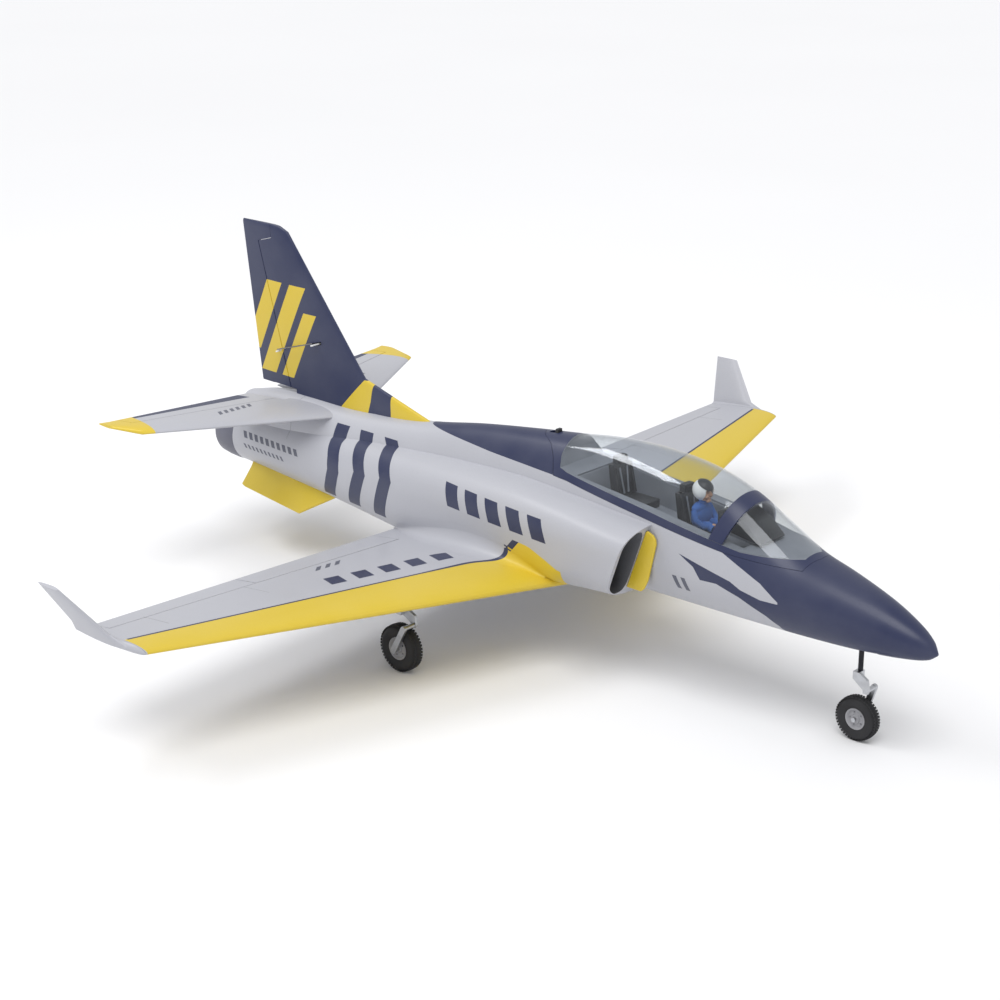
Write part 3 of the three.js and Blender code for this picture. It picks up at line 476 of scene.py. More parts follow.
def wing_paint(f):
    """Yellow leading edge, a navy pinstripe behind it and plain bars for the wing marks."""
    edge = f.s - (PINSTRIPE["root"] + f.side * PINSTRIPE["sweep"])
    inboard = f.side < 515
    swept = f.ramp(f.side, 66, 125, 1, 0)
    behind = edge + swept * swept * SWEEP_FORWARD
    yellow = (behind < 0) & inboard
    half = f.ramp(f.side, 70, 180, 3.6, 1.6)
    navy = (abs(behind) < half) & (f.side < 512)
    over = f.z > 98 - (f.s - 421) * 0.04
    lettered = slanted_bars(f, f.side, behind, WING_BARS, 33, 0.56, 0.35) & over
    bars = slanted_bars(f, f.side, f.s, SMALL_WING_BARS, 14, 0.5, 1.1) & over
    navy = navy | lettered
    colour = f.blend(yellow, GREY, YELLOW)
    colour = f.blend(navy, colour, NAVY)
    colour = f.blend(bars, colour, MARK_GREY)
    inner, outer = (line(f.side, at, 0.35) for at in HINGE_TRACKS)
    return colour, (inner | outer) & f.s.within(600, 640)


def tail_paint(f):
    """Grey with a navy stripe at the back and yellow raked tips."""
    back = f.s - (958.1 + (f.side - 73.7) * 0.209)
    navy = (back > 0) & (f.side > 40)
    tip = f.side + (f.s - 937) * 0.27 > 204
    colour = f.blend(navy, GREY, NAVY)
    colour = f.blend(tip, colour, YELLOW)
    mark = slanted_bars(f, f.side, f.s, (70, 120, 912, 924), 9, 0.55, 0.5)
    return f.blend(mark, colour, MARK_GREY), NO_GROOVE


FIN_BARS = [(926, 954, 241, 331), (884, 912, 215, 331), (850, 872, 215, 300)]


def fin_paint(f):
    """Navy with plain yellow bars, and two yellow flashes at the root."""
    lean = f.s + (f.z - 331) * 0.51
    first = (f.s > 779 - (f.z - 198) * 0.22) & (f.s < 823 - (f.z - 198) * 0.95)
    second = (f.s < 741 + (f.z - 202) * 0.06) & (f.z < 226)
    yellow = (first | second) & (f.z < 236)
    for front, rear, low, high in FIN_BARS:
        yellow = yellow | (lean.within(front, rear) & f.z.within(low, high))
    return f.blend(yellow, NAVY, YELLOW), NO_GROOVE


def plain_yellow_paint(f):
    return f.blend(f.ramp(f.noise(70), 0.3, 0.7, 0, 0.12), YELLOW, tone(244, 222, 96)), NO_GROOVE


def bare_foam():
    f = Finish("bare foam")
    beads = f.cells(2.8, "DISTANCE_TO_EDGE")
    shade = f.blend(f.ramp(beads, 0, 0.2), tone(188, 188, 186), tone(224, 224, 221))
    f.set(Base_Color=shade, Roughness=f.ramp(f.noise(4), 0.3, 0.7, 0.62, 0.78))
    f.set(Normal=f.bump(f.ramp(beads, 0, 0.3), 0.15, 0.6))
    return f.material


# ------------------------------------------------------------ other finishes
def moulded(name, colour, roughness=0.45, grain=0.5, speckle=0.05, coat=0.0):
    """Moulded plastic or rubber with a fine spark-eroded grain."""
    f = Finish(name)
    fine = f.noise(grain, 3)
    wide = f.noise(18, 2)
    lighter = tuple(min(1.0, c * 1.5 + 0.02) for c in colour[:3]) + (1.0,)
    shade = f.blend(f.ramp(wide, 0.3, 0.7, 0, speckle * 4), colour, lighter)
    shade = f.blend(f.ramp(fine, 0.45, 0.75, 0, speckle * 3), shade, lighter)
    f.set(Base_Color=shade, Roughness=f.ramp(fine, 0.3, 0.7, roughness - 0.08, roughness + 0.08))
    f.surface.inputs["Coat Weight"].default_value = coat
    f.set(Normal=f.bump(fine, 0.03, 0.45))
    return f.material


def duct_lining():
    """Grey paint at the mouths, darkened deeper in by painted shade inside the duct."""
    f = Finish("duct lining")
    grain = f.noise(1.2, 3)
    # painted shade: the lining turns dark with the station, deeper into the duct
    depth = f.ramp(f.s + f.noise(30) * 12, 350, 440)
    shade = f.blend(depth, tone(112, 113, 118), tone(36, 36, 38))
    shade = f.blend(grain * 0.2, shade, tone(20, 20, 22))
    f.set(Base_Color=shade, Roughness=f.ramp(grain, 0.3, 0.7, 0.45, 0.6))
    f.set(Normal=f.bump(grain, 0.04, 0.4))
    return f.material


BRUSHED = (1, 1, 8)


def metal(name, colour, roughness):
    """Cast or drawn metal with faint lines and dull patches."""
    f = Finish(name)
    lines = f.noise(0.6, 2, 0.6, BRUSHED)
    wide = f.noise(9, 3)
    duller = tuple(c * 0.72 for c in colour[:3]) + (1.0,)
    f.set(
        Base_Color=f.blend(f.ramp(wide, 0.35, 0.7, 0, 0.6), colour, duller),
        Roughness=f.ramp(lines + wide * 0.6, 0.5, 1.1, roughness - 0.08, roughness + 0.14),
    )
    f.surface.inputs["Metallic"].default_value = 1.0
    f.set(Normal=f.bump(lines, 0.02, 0.4))
    return f.material


def carbon():
    f = Finish("carbon tube")
    weave = ((f.x / 3).fraction() > 0.5) | ((f.z / 3).fraction() > 0.5)
    shade = f.blend(weave, tone(24, 24, 27), tone(46, 46, 50))
    f.set(Base_Color=shade, Roughness=f.ramp(weave, 0, 1, 0.28, 0.4))
    return f.material


def plywood():
    f = Finish("birch plywood")
    grain = f.noise(2.2, 4, 0.6, (1, 0.08, 1))
    shade = f.blend(f.ramp(grain, 0.3, 0.7), tone(184, 148, 104), tone(219, 189, 146))
    f.set(Base_Color=shade, Roughness=0.7)
    f.set(Normal=f.bump(grain, 0.05, 0.5))
    return f.material


def clear_plastic():
    """Thin clear vacuum-formed sheet: see-through face on, brighter toward its edges."""
    f = Finish("clear canopy")
    clear = f.tree.nodes.new("ShaderNodeBsdfTransparent")
    clear.inputs[0].default_value = (0.93, 0.945, 0.955, 1)
    facing = f.node("ShaderNodeLayerWeight", (), {"Blend": 0.5}, 1)
    haze = f.ramp(f.noise(40, 2), 0.3, 0.7, 0.03, 0.05)
    mix = f.tree.nodes.new("ShaderNodeMixShader")
    f.feed(mix.inputs[0], facing.maths("POWER", facing, 4) * 0.75 + haze)
    f.tree.links.new(clear.outputs[0], mix.inputs[1])
    f.tree.links.new(f.surface.outputs[0], mix.inputs[2])
    f.tree.links.new(mix.outputs[0], f.output.inputs["Surface"])
    f.set(Base_Color=tone(236, 238, 242), Roughness=0.04)
    f.surface.inputs["Metallic"].default_value = 1.0
    return f.material


HULL = foam("hull paint", hull_paint)
NAVY_PAINT = foam("navy paint", navy_paint, 0.36)
WING_PAINT = foam("wing paint", wing_paint)
TAIL_PAINT = foam("tail paint", tail_paint)
FIN_PAINT = foam("fin paint", fin_paint, 0.38)
YELLOW_PAINT = foam("yellow paint", plain_yellow_paint)
BARE = bare_foam()
DUCT_SHADED = duct_lining()
DARK = moulded("dark plastic", tone(34, 35, 38), 0.42, 0.6)
COCKPIT = moulded("cockpit grey", tone(128, 131, 138), 0.6, 0.8)
NOZZLE_GREY = moulded("nozzle grey", tone(92, 93, 106), 0.45, 0.7)
RUBBER = moulded("tyre rubber", tone(27, 27, 30), 0.72, 0.7, 0.08)
HUB_GREY = moulded("hub grey", tone(150, 150, 154), 0.4, 0.6)
WHITE = moulded("white plastic", tone(226, 226, 224), 0.4, 0.6)
SUIT = moulded("flight suit", tone(46, 92, 160), 0.8, 1.1, 0.08)
SKIN = moulded("painted skin", tone(196, 152, 124), 0.6, 0.8, 0.03)
WRAP = moulded("battery wrap", tone(38, 60, 118), 0.3, 2.0, 0.05, 0.4)
LEAD_RED = moulded("red lead", tone(168, 30, 26), 0.5, 0.6)
STRAP = moulded("hook tape", tone(30, 30, 34), 0.85, 0.5, 0.12)
ALLOY = metal("cast alloy", tone(196, 198, 202), 0.32)
STEEL = metal("steel wire", tone(150, 150, 154), 0.25)
BLACK_PIN = metal("blackened steel", tone(52, 52, 56), 0.34)
CARBON = carbon()
PLYWOOD = plywood()
CLEAR = clear_plastic()


# ------------------------------------------------------------ camera, floor and light
CAMERA_PLACE = Vector((-1647, -1455.5, 938.5)) * MM
CAMERA_AIM = Vector((0.6933, 0.6369, -0.3371))
CAMERA_LENS = 75.6
SKY_COLOUR, SKY_STRENGTH = (0.98, 0.985, 1.0, 1), 0.68
SUN_STRENGTH, SUN_SPREAD, SUN_TURN = 1.35, 38, (14, -22, 0)
STRIP_SIZE, STRIP_POWER, STRIP_PLACE = (1.2, 0.3), 9, Vector((-0.67, 1.1, 1.6))
STRIP_AIM = Vector((0, 0, 0.15))


def make_studio():
    view = bpy.data.cameras.new("view")
    view.lens = CAMERA_LENS
    view.sensor_width = 36
    view.clip_end = 50
    camera = placed("view", view)
    camera.location = CAMERA_PLACE
    camera.rotation_mode = "QUATERNION"
    camera.rotation_quaternion = CAMERA_AIM.to_track_quat("-Z", "Y")
    bpy.context.scene.camera = camera
    bpy.context.scene.view_settings.view_transform = "Standard"

    form = bmesh.new()
    bmesh.ops.create_grid(form, x_segments=8, y_segments=8, size=30)
    floor = raw("studio_floor", form)
    f = Finish("studio floor")
    f.set(Base_Color=f.blend(f.noise(900, 2), tone(243, 243, 244), tone(246, 246, 247)), Roughness=0.9)
    floor.data.materials.append(f.material)

    world = bpy.data.worlds.new("studio")
    bpy.context.scene.world = world
    world.use_nodes = True
    sky = world.node_tree.nodes["Background"].inputs
    sky[0].default_value = SKY_COLOUR
    sky[1].default_value = SKY_STRENGTH

    sun = bpy.data.lights.new("overhead", "SUN")
    sun.energy = SUN_STRENGTH
    sun.angle = math.radians(SUN_SPREAD)
    placed("overhead", sun).rotation_euler = [math.radians(angle) for angle in SUN_TURN]

    box = bpy.data.lights.new("strip", "AREA")
    box.shape = "RECTANGLE"
    box.size, box.size_y = STRIP_SIZE
    box.energy = STRIP_POWER
    strip = placed("strip", box)
    strip.location = STRIP_PLACE
    strip.rotation_euler = (STRIP_AIM - STRIP_PLACE).to_track_quat("-Z", "Y").to_euler()


# ------------------------------------------------------------ fuselage form
def course(points):
    """A smooth course through (station, value) points."""
    slope = []
    for i in range(len(points)):
        before, after = points[max(i - 1, 0)], points[min(i + 1, len(points) - 1)]
        slope.append((after[1] - before[1]) / (after[0] - before[0]))

    def value(s):
        i = max((k for k in range(len(points) - 1) if points[k][0] <= s), default=0)
        (s0, v0), (s1, v1) = points[i], points[i + 1]
        span = s1 - s0
        t = min(max((s - s0) / span, 0), 1)
        rise = (t - 2 * t * t + t**3) * span * slope[i] + (t**3 - t * t) * span * slope[i + 1]
        return v0 + (v1 - v0) * (3 * t * t - 2 * t**3) + rise

    return value


CORE = {
    "half": course([
        (0, 1.5), (8, 9), (25, 17.5), (60, 28), (110, 38.5), (170, 47), (250, 52.5), (340, 52),
        (440, 49), (520, 42), (620, 34), (740, 32), (840, 33), (920, 31), (992, 24),
    ]),
    "top": course([
        (0, 119.5), (8, 130), (25, 141.5), (60, 157.5), (110, 173.5), (152, 185.5), (190, 207),
        (232, 230), (280, 245), (340, 251), (400, 249), (460, 241), (520, 233.5), (600, 222),
        (677, 208), (740, 201), (800, 197.5), (880, 197), (940, 194.5), (992, 184),
    ]),
    "water": course([(0, 118), (60, 129), (150, 141), (260, 148), (400, 150), (600, 146), (992, 140)]),
    "low": course([
        (0, 116.5), (8, 110.5), (25, 106.5), (60, 102.5), (120, 99.5), (260, 97), (400, 94),
        (600, 92), (992, 104),
    ]),
    "power": course([(0, 2.15), (620, 2.15), (840, 2.5), (992, 2.4)]),
}
TRUNK = {
    "half": course([
        (290, 93), (345, 93), (400, 90), (480, 84), (560, 76), (640, 66), (700, 59), (760, 52.5),
        (830, 46.5), (900, 42), (960, 38), (992, 36),
    ]),
    "top": course([
        (290, 186), (345, 188.5), (420, 193), (500, 194), (600, 188), (700, 181), (830, 174), (992, 164),
    ]),
    "water": course([(290, 145), (500, 140), (700, 131), (992, 128)]),
    "low": course([
        (290, 104.5), (345, 102.5), (400, 95), (480, 81), (560, 75), (640, 73), (700, 75), (830, 84),
        (992, 92),
    ]),
    "power": course([(290, 4.2), (420, 3.6), (560, 3), (760, 2.5), (992, 2)]),
}
NOSE_STATIONS = [0, 1, 2.5, 4.5, 7, 10, 14, 18, 23, 29, 36]
CORE_STATIONS = NOSE_STATIONS + list(range(43, 990, 8)) + [992, 1000]
HATCH_STATIONS = list(range(124, 520, 4))
TRUNK_STATIONS = list(range(286, 990, 8)) + [992, 1000]
ROUND = 96


def rounded(angle, power):
    """A point on a unit superellipse."""
    c, s = math.cos(angle), math.sin(angle)
    return math.copysign(abs(c) ** (2 / power), c), math.copysign(abs(s) ** (2 / power), s)


def body_ring(shape, s, grow=0.0):
    points = []
    water = shape["water"](s)
    for i in range(ROUND):
        across, up = rounded(FULL * i / ROUND, shape["power"](s))
        reach = shape["top"](s) + grow - water if up > 0 else water - shape["low"](s) + grow
        points.append(spot((shape["half"](s) + grow) * across, s, water + reach * up))
    return points


def body_form(shape, stations, grow=0.0):
    return loft([body_ring(shape, s, grow) for s in stations])


MOUTH = {"station": 314, "top": 187, "rake": 0.352}


def mouth_face(z):
    return MOUTH["station"] + (MOUTH["top"] - z) * MOUTH["rake"]


def side_form(outline, x0, x1):
    """A prism across the model from its side outline of (station, height)."""
    return plate([spot(x0, s, z) for s, z in outline], ACROSS * (x1 - x0) * MM)


def slab(s0, s1):
    return block((-250, 250), (s0, s1), (-20, 460))


DUCT_PATH = [
    (285, 72.7, 15.7, 145.2, 37.2, 4.5), (345, 72.2, 15.5, 145, 36, 4), (400, 63, 18, 141, 33, 3.2),
    (460, 47, 20, 136, 30, 2.6), (520, 25, 25, 131, 28.5, 2.2), (588, 0, 35.2, 128, 35.2, 2),
]


def trunk_half(s, z):
    """Half width of the trunk's skin at a height."""
    water = TRUNK["water"](s)
    reach = TRUNK["top"](s) - water if z > water else water - TRUNK["low"](s)
    power = TRUNK["power"](s)
    return TRUNK["half"](s) * (1 - min(abs(z - water) / reach, 1) ** power) ** (1 / power)


def duct_form(side):
    rings = []
    laws = [course([(row[0], row[k]) for row in DUCT_PATH]) for k in range(1, 6)]
    for s in range(285, 589, 8):
        x, half, z, up, power = (law(s) for law in laws)
        ring = []
        for i in range(48):
            across, rise = rounded(FULL * i / 48, power)
            skin = max(trunk_half(s, z + up * rise) - 3.2, x)
            ring.append(spot(side * min(x + half * across, skin), s, z + up * rise))
        rings.append(ring)
    return loft(rings)


def seam_height(s):
    return 178.5 + (s - 226) * 24.5 / 211


SEAM = [(138, 174), (226, 178.5), (437, 203), (512, 206)]
SILL = [(147, 182), (206, 182.5), (250, 189), (323, 198.8), (440, 211.3), (451, 214), (455, 226)]
HATCH_PLAN = [
    (0, 138), (34, 143), (75, 168), (75, 425), (45, 453), (30, 466), (20, 478), (11, 494), (0, 502),
]
TUB = {"half": 34.5, "front": 208, "rear": 428, "depth": 24, "wall": 1.6}


def hatch_tool(grow):
    """Everything above the hatch seam, inside the hatch's plan outline."""
    outline = [(x * (1 + grow / 60), s + math.copysign(grow, s - 300)) for x, s in HATCH_PLAN]
    ring = outline + [(-x, s) for x, s in reversed(outline[1:-1])]
    plan = plate([spot(x, s, 100) for x, s in ring], UP * 0.25)
    piece = raw("plan", plan)
    side = [(110, 174 - grow)] + [(s, z - grow) for s, z in SEAM] + [(512, 320), (110, 320)]
    carve(piece, side_form(side, -90, 90), "INTERSECT")
    return taken(piece)


def canopy_tool(grow):
    rear = SILL[-1][0] + grow
    outline = [(s, z - grow) for s, z in SILL[:-1]] + [(rear, 226), (rear, 320), (SILL[0][0], 320)]
    return side_form(outline, -90, 90)


def tub_tool(grow, rise):
    front, rear = TUB["front"] - grow, TUB["rear"] + grow
    low_front = seam_height(TUB["front"]) - TUB["depth"] - grow
    low_rear = seam_height(TUB["rear"]) - TUB["depth"] - grow
    top_rear, top_front = seam_height(TUB["rear"]) + 6 + rise, seam_height(TUB["front"]) + 6 + rise
    outline = [(front, low_front), (rear, low_rear), (rear, top_rear), (front, top_front)]
    return side_form(outline, -TUB["half"] - grow, TUB["half"] + grow)


CAVITIES = [  # battery bay, nose wheel well and the room for its wheel
    ((-27, 27), (222, 440), (105, 176)),
    ((-17, 17), (57, 212), (60, 146)),
    ((-16.9, 16.9), (120, 212.4), (60, 151.2)),
]
DUCT_CENTRE = spot(0, 0, 128)


def make_fuselage():
    whole = raw("whole", body_form(CORE, CORE_STATIONS), [HULL, BARE, DUCT_SHADED])
    trunk = raw("trunk", body_form(TRUNK, TRUNK_STATIONS), [HULL, BARE, DUCT_SHADED])
    behind = [(mouth_face(230), 230), (mouth_face(60), 60), (1010, 60), (1010, 230)]
    carve(trunk, side_form(behind, -120, 120), "INTERSECT")
    carve(whole, taken(trunk), "UNION")

    def part(name, s0, s1):
        return carve(placed(name, whole.data.copy()), slab(s0, s1), "INTERSECT", 0)

    settle(part("nose_foam", -5, 46), "airframe", ["nose_cone"], 40)
    front = part("front_fuselage_foam", 46.03, 700)
    carve(front, hatch_tool(FIT), index=0)
    carve(front, tub_tool(1.2, 40), index=1)
    for limits in CAVITIES:
        carve(front, block(*limits), index=1)
    for side in SIDES.values():
        carve(front, duct_form(side), index=2)
    seat = turned([(587, 0), (587, 38.35), (720, 38.35), (720, 0)], DUCT_CENTRE, BACK, 64)
    carve(front, seat, index=2)
    settle(front, "airframe", ["front_fuselage"], 28)
    rear = part("rear_fuselage_foam", 700.03, 992)
    hole = turned([(690, 0), (690, 36), (1040, 30.6), (1040, 0)], DUCT_CENTRE, BACK, 64)
    carve(rear, hole, index=2)
    settle(rear, "airframe", ["rear_fuselage"], 28)
    drop(whole)


def make_splitters():
    outline = [
        (321, 112), (317, 116), (312.5, 126), (303.2, 168), (304, 173), (307, 177), (314, 180),
        (mouth_face(180) - FIT, 180), (mouth_face(112) - FIT, 112),
    ]
    for name, side in SIDES.items():
        form = side_form(outline, 53.4, 56.4)
        soften(form, form.edges, 0.7, 3)
        form = mirrored(form, side)
        add(f"intake_splitter_{name}_foam", form, YELLOW_PAINT, "airframe",
            [f"intake_splitter_{name}"])


# ------------------------------------------------------------ canopy hatch
ARCH = {"low": 232, "high": 200, "width": 17, "wall": 3.2}


def arch_tool(margin):
    low, high, width = ARCH["low"], ARCH["high"], ARCH["width"]
    front = [(low - margin, 170), (high - margin, 270)]
    outline = front + [(high + width + margin, 270), (low + width + margin, 170)]
    return side_form(outline, -90, 90)


def canopy_skin(name, wall, finish):
    skin = raw(name, body_form(CORE, HATCH_STATIONS), [finish])
    carve(skin, body_form(CORE, HATCH_STATIONS[1:-1], -wall))
    carve(skin, canopy_tool(0), "INTERSECT")
    carve(skin, hatch_tool(0), "INTERSECT")
    return skin


def make_hatch():
    shell = raw("hatch_foam", body_form(CORE, HATCH_STATIONS), [NAVY_PAINT, COCKPIT])
    carve(shell, hatch_tool(0), "INTERSECT", 0)
    carve(shell, canopy_tool(FIT), index=1)
    carve(shell, tub_tool(FIT, 40), index=1)
    carve(shell, block((-4.6, 4.6), (481, 494.5), (226, 260)), index=0)
    settle(shell, "hatch", ["canopy_hatch"], 28)

    split = [(ARCH["low"] + 4, 170), (ARCH["high"] + 4, 270)]
    halves = {
        "windscreen": ("windscreen_clear", [(100, 170)] + split + [(100, 270)]),
        "canopy_glass": ("canopy_clear", split + [(500, 270), (500, 170)]),
    }
    for node, (name, outline) in halves.items():
        glass = canopy_skin(name, 1.6, CLEAR)
        carve(glass, arch_tool(FIT))
        carve(glass, side_form(outline, -90, 90), "INTERSECT")
        settle(glass, "hatch", [node], 40)
    arch = canopy_skin("canopy_arch_foam", ARCH["wall"], NAVY_PAINT)
    carve(arch, arch_tool(0), "INTERSECT")
    settle(arch, "hatch", ["canopy_arch"], 30)


def make_cockpit():
    add("cockpit_tub_shell", merged("cockpit_tub"), COCKPIT, "hatch", ["cockpit_tub"])
    form = merged("instrument_hood")
    soften(form, form.edges, 1.2, 2)
    add("instrument_hood_cover", form, DARK, "hatch", ["instrument_hood"])
    dials = []
    for x, z in ((-13, 205), (-6, 208), (0, 200), (6, 208), (13, 205), (-8, 198), (8, 198)):
        dials.append(rod(spot(x, 251.4, z), spot(x, 252.8, z), 2.4, 20))
    add("instrument_dials", grouped(*dials), WHITE, "hatch")
    stick = [rod(spot(0, 262, 164), spot(0, 266, 182), 1.1), ball(spot(0, 266, 183), 2.2)]
    add("control_stick", grouped(*stick), DARK, "hatch")
    for name, station in (("front", 296), ("rear", 386)):
        make_seat(name, station)


def make_seat(name, station):
    """A seat with its bolsters, headrest pad and shoulder straps."""
    copied(f"{name}_seat", DARK, "hatch", "dark_plastic", 1.4)
    floor = seam_height(station) - TUB["depth"] + TUB["wall"]
    pads, straps = [], []
    for x in (-13, 13):
        pads.append(tube([spot(x, station + 1, floor + 14), spot(x, station + 8, floor + 44)], 2.2))
    pads.append(block((-6.5, 6.5), (station + 5.8, station + 9.4), (floor + 48, floor + 55), 1.2, 3))
    add(f"{name}_seat_pads", grouped(*pads), STRAP, "hatch")
    for x in (-6, 6):
        low, high = spot(x * 0.6, station + 2.2, floor + 16), spot(x, station + 7.4, floor + 44)
        straps.append(tube([low, high], 1.1, 8))
    add(f"{name}_seat_straps", grouped(*straps), COCKPIT, "hatch")


def make_pilot():
    """A seated pilot in a blue suit and a white helmet with a dark crown."""
    body = [
        ball(spot(0, 287.5, 190), 14, (1.05, 0.6, 1.1)), ball(spot(0, 288, 199), 9.5, (1.5, 0.75, 0.7)),
        rod(spot(0, 287, 200), spot(0, 286, 210), 4.6),
    ]
    for x in (-1, 1):
        arm = [(12.5, 288, 198), (15, 284, 189), (12, 276, 183), (6, 268, 183)]
        body.append(tube([spot(a * x, s, z) for a, s, z in arm], 3.6, 14))
        body.append(tube([spot(6 * x, 288, 180), spot(7 * x, 274, 183), spot(7 * x, 266, 181)], 5, 14))
    add("pilot_suit", grouped(*body), SUIT, "hatch", ["pilot_figure"], 50)
    face = [
        ball(spot(0, 285.5, 215.5), 8.4, (0.86, 0.98, 1.14)),
        ball(spot(0, 277.4, 214.6), 1.5, (0.8, 1, 1.3), 8),
        ball(spot(0, 279.2, 207.8), 2.6, (1.3, 0.8, 0.8), 8),
        ball(spot(0, 277.9, 211), 1.5, (1.5, 0.5, 0.5), 8),
    ]
    for x in (-1, 1):
        face.append(ball(spot(6 * x, 267, 184), 3, rings=10))
        face.append(ball(spot(3.2 * x, 279.2, 213), 2.4, (1, 0.8, 0.9), 8))
    add("pilot_face", grouped(*face), SKIN, "hatch", sharp=60)
    eyes = [ball(spot(2.9 * x, 278.1, 217), 0.95, (1.25, 0.6, 0.6), 8) for x in (-1, 1)]
    brows = [block((x - 2, x + 2), (276.9, 278), (218.8, 219.5), 0.2) for x in (-3.1, 3.1)]
    add("pilot_eyes", grouped(*eyes, *brows), DARK, "hatch")
    helmet = raw("pilot_helmet", ball(spot(0, 287, 218), 11, (0.94, 1.04, 1.04), 24), [WHITE, DARK])
    carve(helmet, ball(spot(0, 287, 217), 9.5, (0.92, 1.0, 1.04), 24))
    carve(helmet, block((-6.6, 6.6), (268, 283), (200, 221), 2, 3))
    carve(helmet, block((-20, 20), (260, 310), (190, 208.5)))
    settle(helmet, "hatch", sharp=40)
    crown = ball(spot(0, 287, 218), 11.35, (0.94, 1.04, 1.04), 20)
    bmesh.ops.bisect_plane(
        crown, geom=crown.verts[:] + crown.edges[:] + crown.faces[:], plane_co=spot(0, 287, 226),
        plane_no=Vector((0, -0.55, 1)), clear_inner=True,
    )
    bmesh.ops.holes_fill(crown, edges=crown.edges, sides=0)
    add("pilot_helmet_crown", crown, DARK, "hatch", sharp=40)


def make_equipment():
    """Battery with its strap and leads, speed controller with fins, receiver and rudder servo."""
    for row in (
        ("battery_tray", PLYWOOD, "airframe", "plywood", 0.4),
        ("flight_battery", WRAP, "airframe", "battery_wrap", 2.2),
        ("speed_controller", DARK, "airframe", "dark_plastic", 1),
        ("receiver", WHITE, "airframe", "white_plastic", 1),
        ("rudder_servo", DARK, "airframe", "dark_plastic", 0.4),
        ("rudder_servo_arm", WHITE, "servo_arm", "white_plastic", 0.25),
        ("rudder_pushrod", STEEL, "pushrod", "steel_wire", 0.1),
        ("hatch_latch", DARK, "latch", "dark_plastic", 0.5),
    ):
        copied(*row)
    straps = [block((-21.6, 21.6), (s, s + 14), (108.8, 133.2), 0.4) for s in (262, 316)]
    add("battery_straps", grouped(*straps), STRAP, "airframe")
    fins = [block((-24.4, -3.6), (s, s + 1.4), (120.4, 124.4), 0.2) for s in range(370, 424, 5)]
    add("controller_fins", grouped(*fins), ALLOY, "airframe")
    for i, x in enumerate((-14, -9)):
        path = [spot(x + 6, 350, 124), spot(x + 6, 357, 130), spot(x, 363, 128), spot(x, 368, 117)]
        finish = (LEAD_RED, DARK)[i]
        add(f"battery_lead_{i}", tube(path, 1.5), finish, "airframe")
    aerial = [spot(20, 411, 118), spot(22, 424, 122), spot(23, 436, 126)]
    add("receiver_aerial", tube(aerial, 0.5, 8), DARK, "airframe")


# ------------------------------------------------------------ wings and tail
WING = {"root": (70, 421, 270, 98, 27), "tip": (516, 558, 104, 120, 9.5)}
WING_HINGE = ((88, 646), (500, 636))
WING_INCIDENCE = 2.3
TAIL = {"root": (8, 814, 156, 187, 13), "tip": (219, 930, 66, 190, 6.5)}
TAIL_HINGE = ((24, 919), (208, 966))
STEPS = [0.5 - 0.5 * math.cos(math.pi * i / 30) for i in range(1, 31)]


def half_depth(t, thick):
    shape = 0.2969 * math.sqrt(t) - 0.126 * t - 0.3516 * t * t + 0.2843 * t**3 - 0.1036 * t**4
    return thick / 0.2 * shape + 0.6 * t


def camber(t, thick):
    return 0.06 * thick * math.sin(math.pi * math.sqrt(t))


def aerofoil(place, chord, thick, incidence, lift=(0, 0, 1)):
    x, station, z = place
    fall = math.tan(math.radians(incidence))
    rim = [(0, 0)] + [(t, camber(t, thick) + half_depth(t, thick)) for t in STEPS]
    rim += [(t, camber(t, thick) - half_depth(t, thick)) for t in reversed(STEPS)]
    return [
        spot(x + lift[0] * rise, station + chord * t, z + lift[2] * rise - chord * t * fall)
        for t, rise in rim
    ]


def panel_at(panel, x):
    """Station, chord, height and thickness of a panel at a span position."""
    root, tip = panel["root"], panel["tip"]
    t = (x - root[0]) / (tip[0] - root[0])
    return [a + (b - a) * t for a, b in zip(root[1:], tip[1:])]


def panel_ring(panel, x, incidence):
    station, chord, z, thick = panel_at(panel, x)
    return aerofoil((x, station, z), chord, thick, incidence)


def aft_of(panel, hinge, x0, x1, incidence, lean, shift):
    """Everything aft of a hinge line between two span positions."""
    rings = []
    (inner_x, inner_s), (outer_x, outer_s) = hinge
    for x in (x0, x1):
        s = inner_s + (outer_s - inner_s) * (x - inner_x) / (outer_x - inner_x)
        station, chord, z, thick = panel_at(panel, x)
        rise = 0.55 * thick * math.sqrt(max(1 - (s - station) / chord, 0.05))
        z -= (s - station) * math.tan(math.radians(incidence))
        s += shift
        rings.append([
            spot(x, s, z + rise), spot(x, s + lean * 2 * rise, z - rise - 4),
            spot(x, s + 120, z - rise - 4), spot(x, s + 120, z + rise + 6), spot(x, s, z + rise + 6),
        ])
    return loft(rings)


WELL = {"x": 122, "station": 545, "radius": 34, "top": 105.2}
MOUNT = {"x": (199, 226), "s": (521, 561), "z": (85.5, 104)}


def wheel_well(piece, side):
    centre = spot(side * WELL["x"], WELL["station"], 0)
    radius, top = WELL["radius"], WELL["top"]
    carve(piece, turned([(60, 0), (60, radius), (top, radius), (top, 0)], centre, UP, 64), index=1)
    path = block((WELL["x"], MOUNT["x"][0] + 0.5), (520.5, 561.5), (60, top))
    carve(piece, mirrored(path, side), index=1)
    room = block((198.6, 226.4), (520.6, 561.4), (60, 104.4))
    carve(piece, mirrored(room, side), index=1)


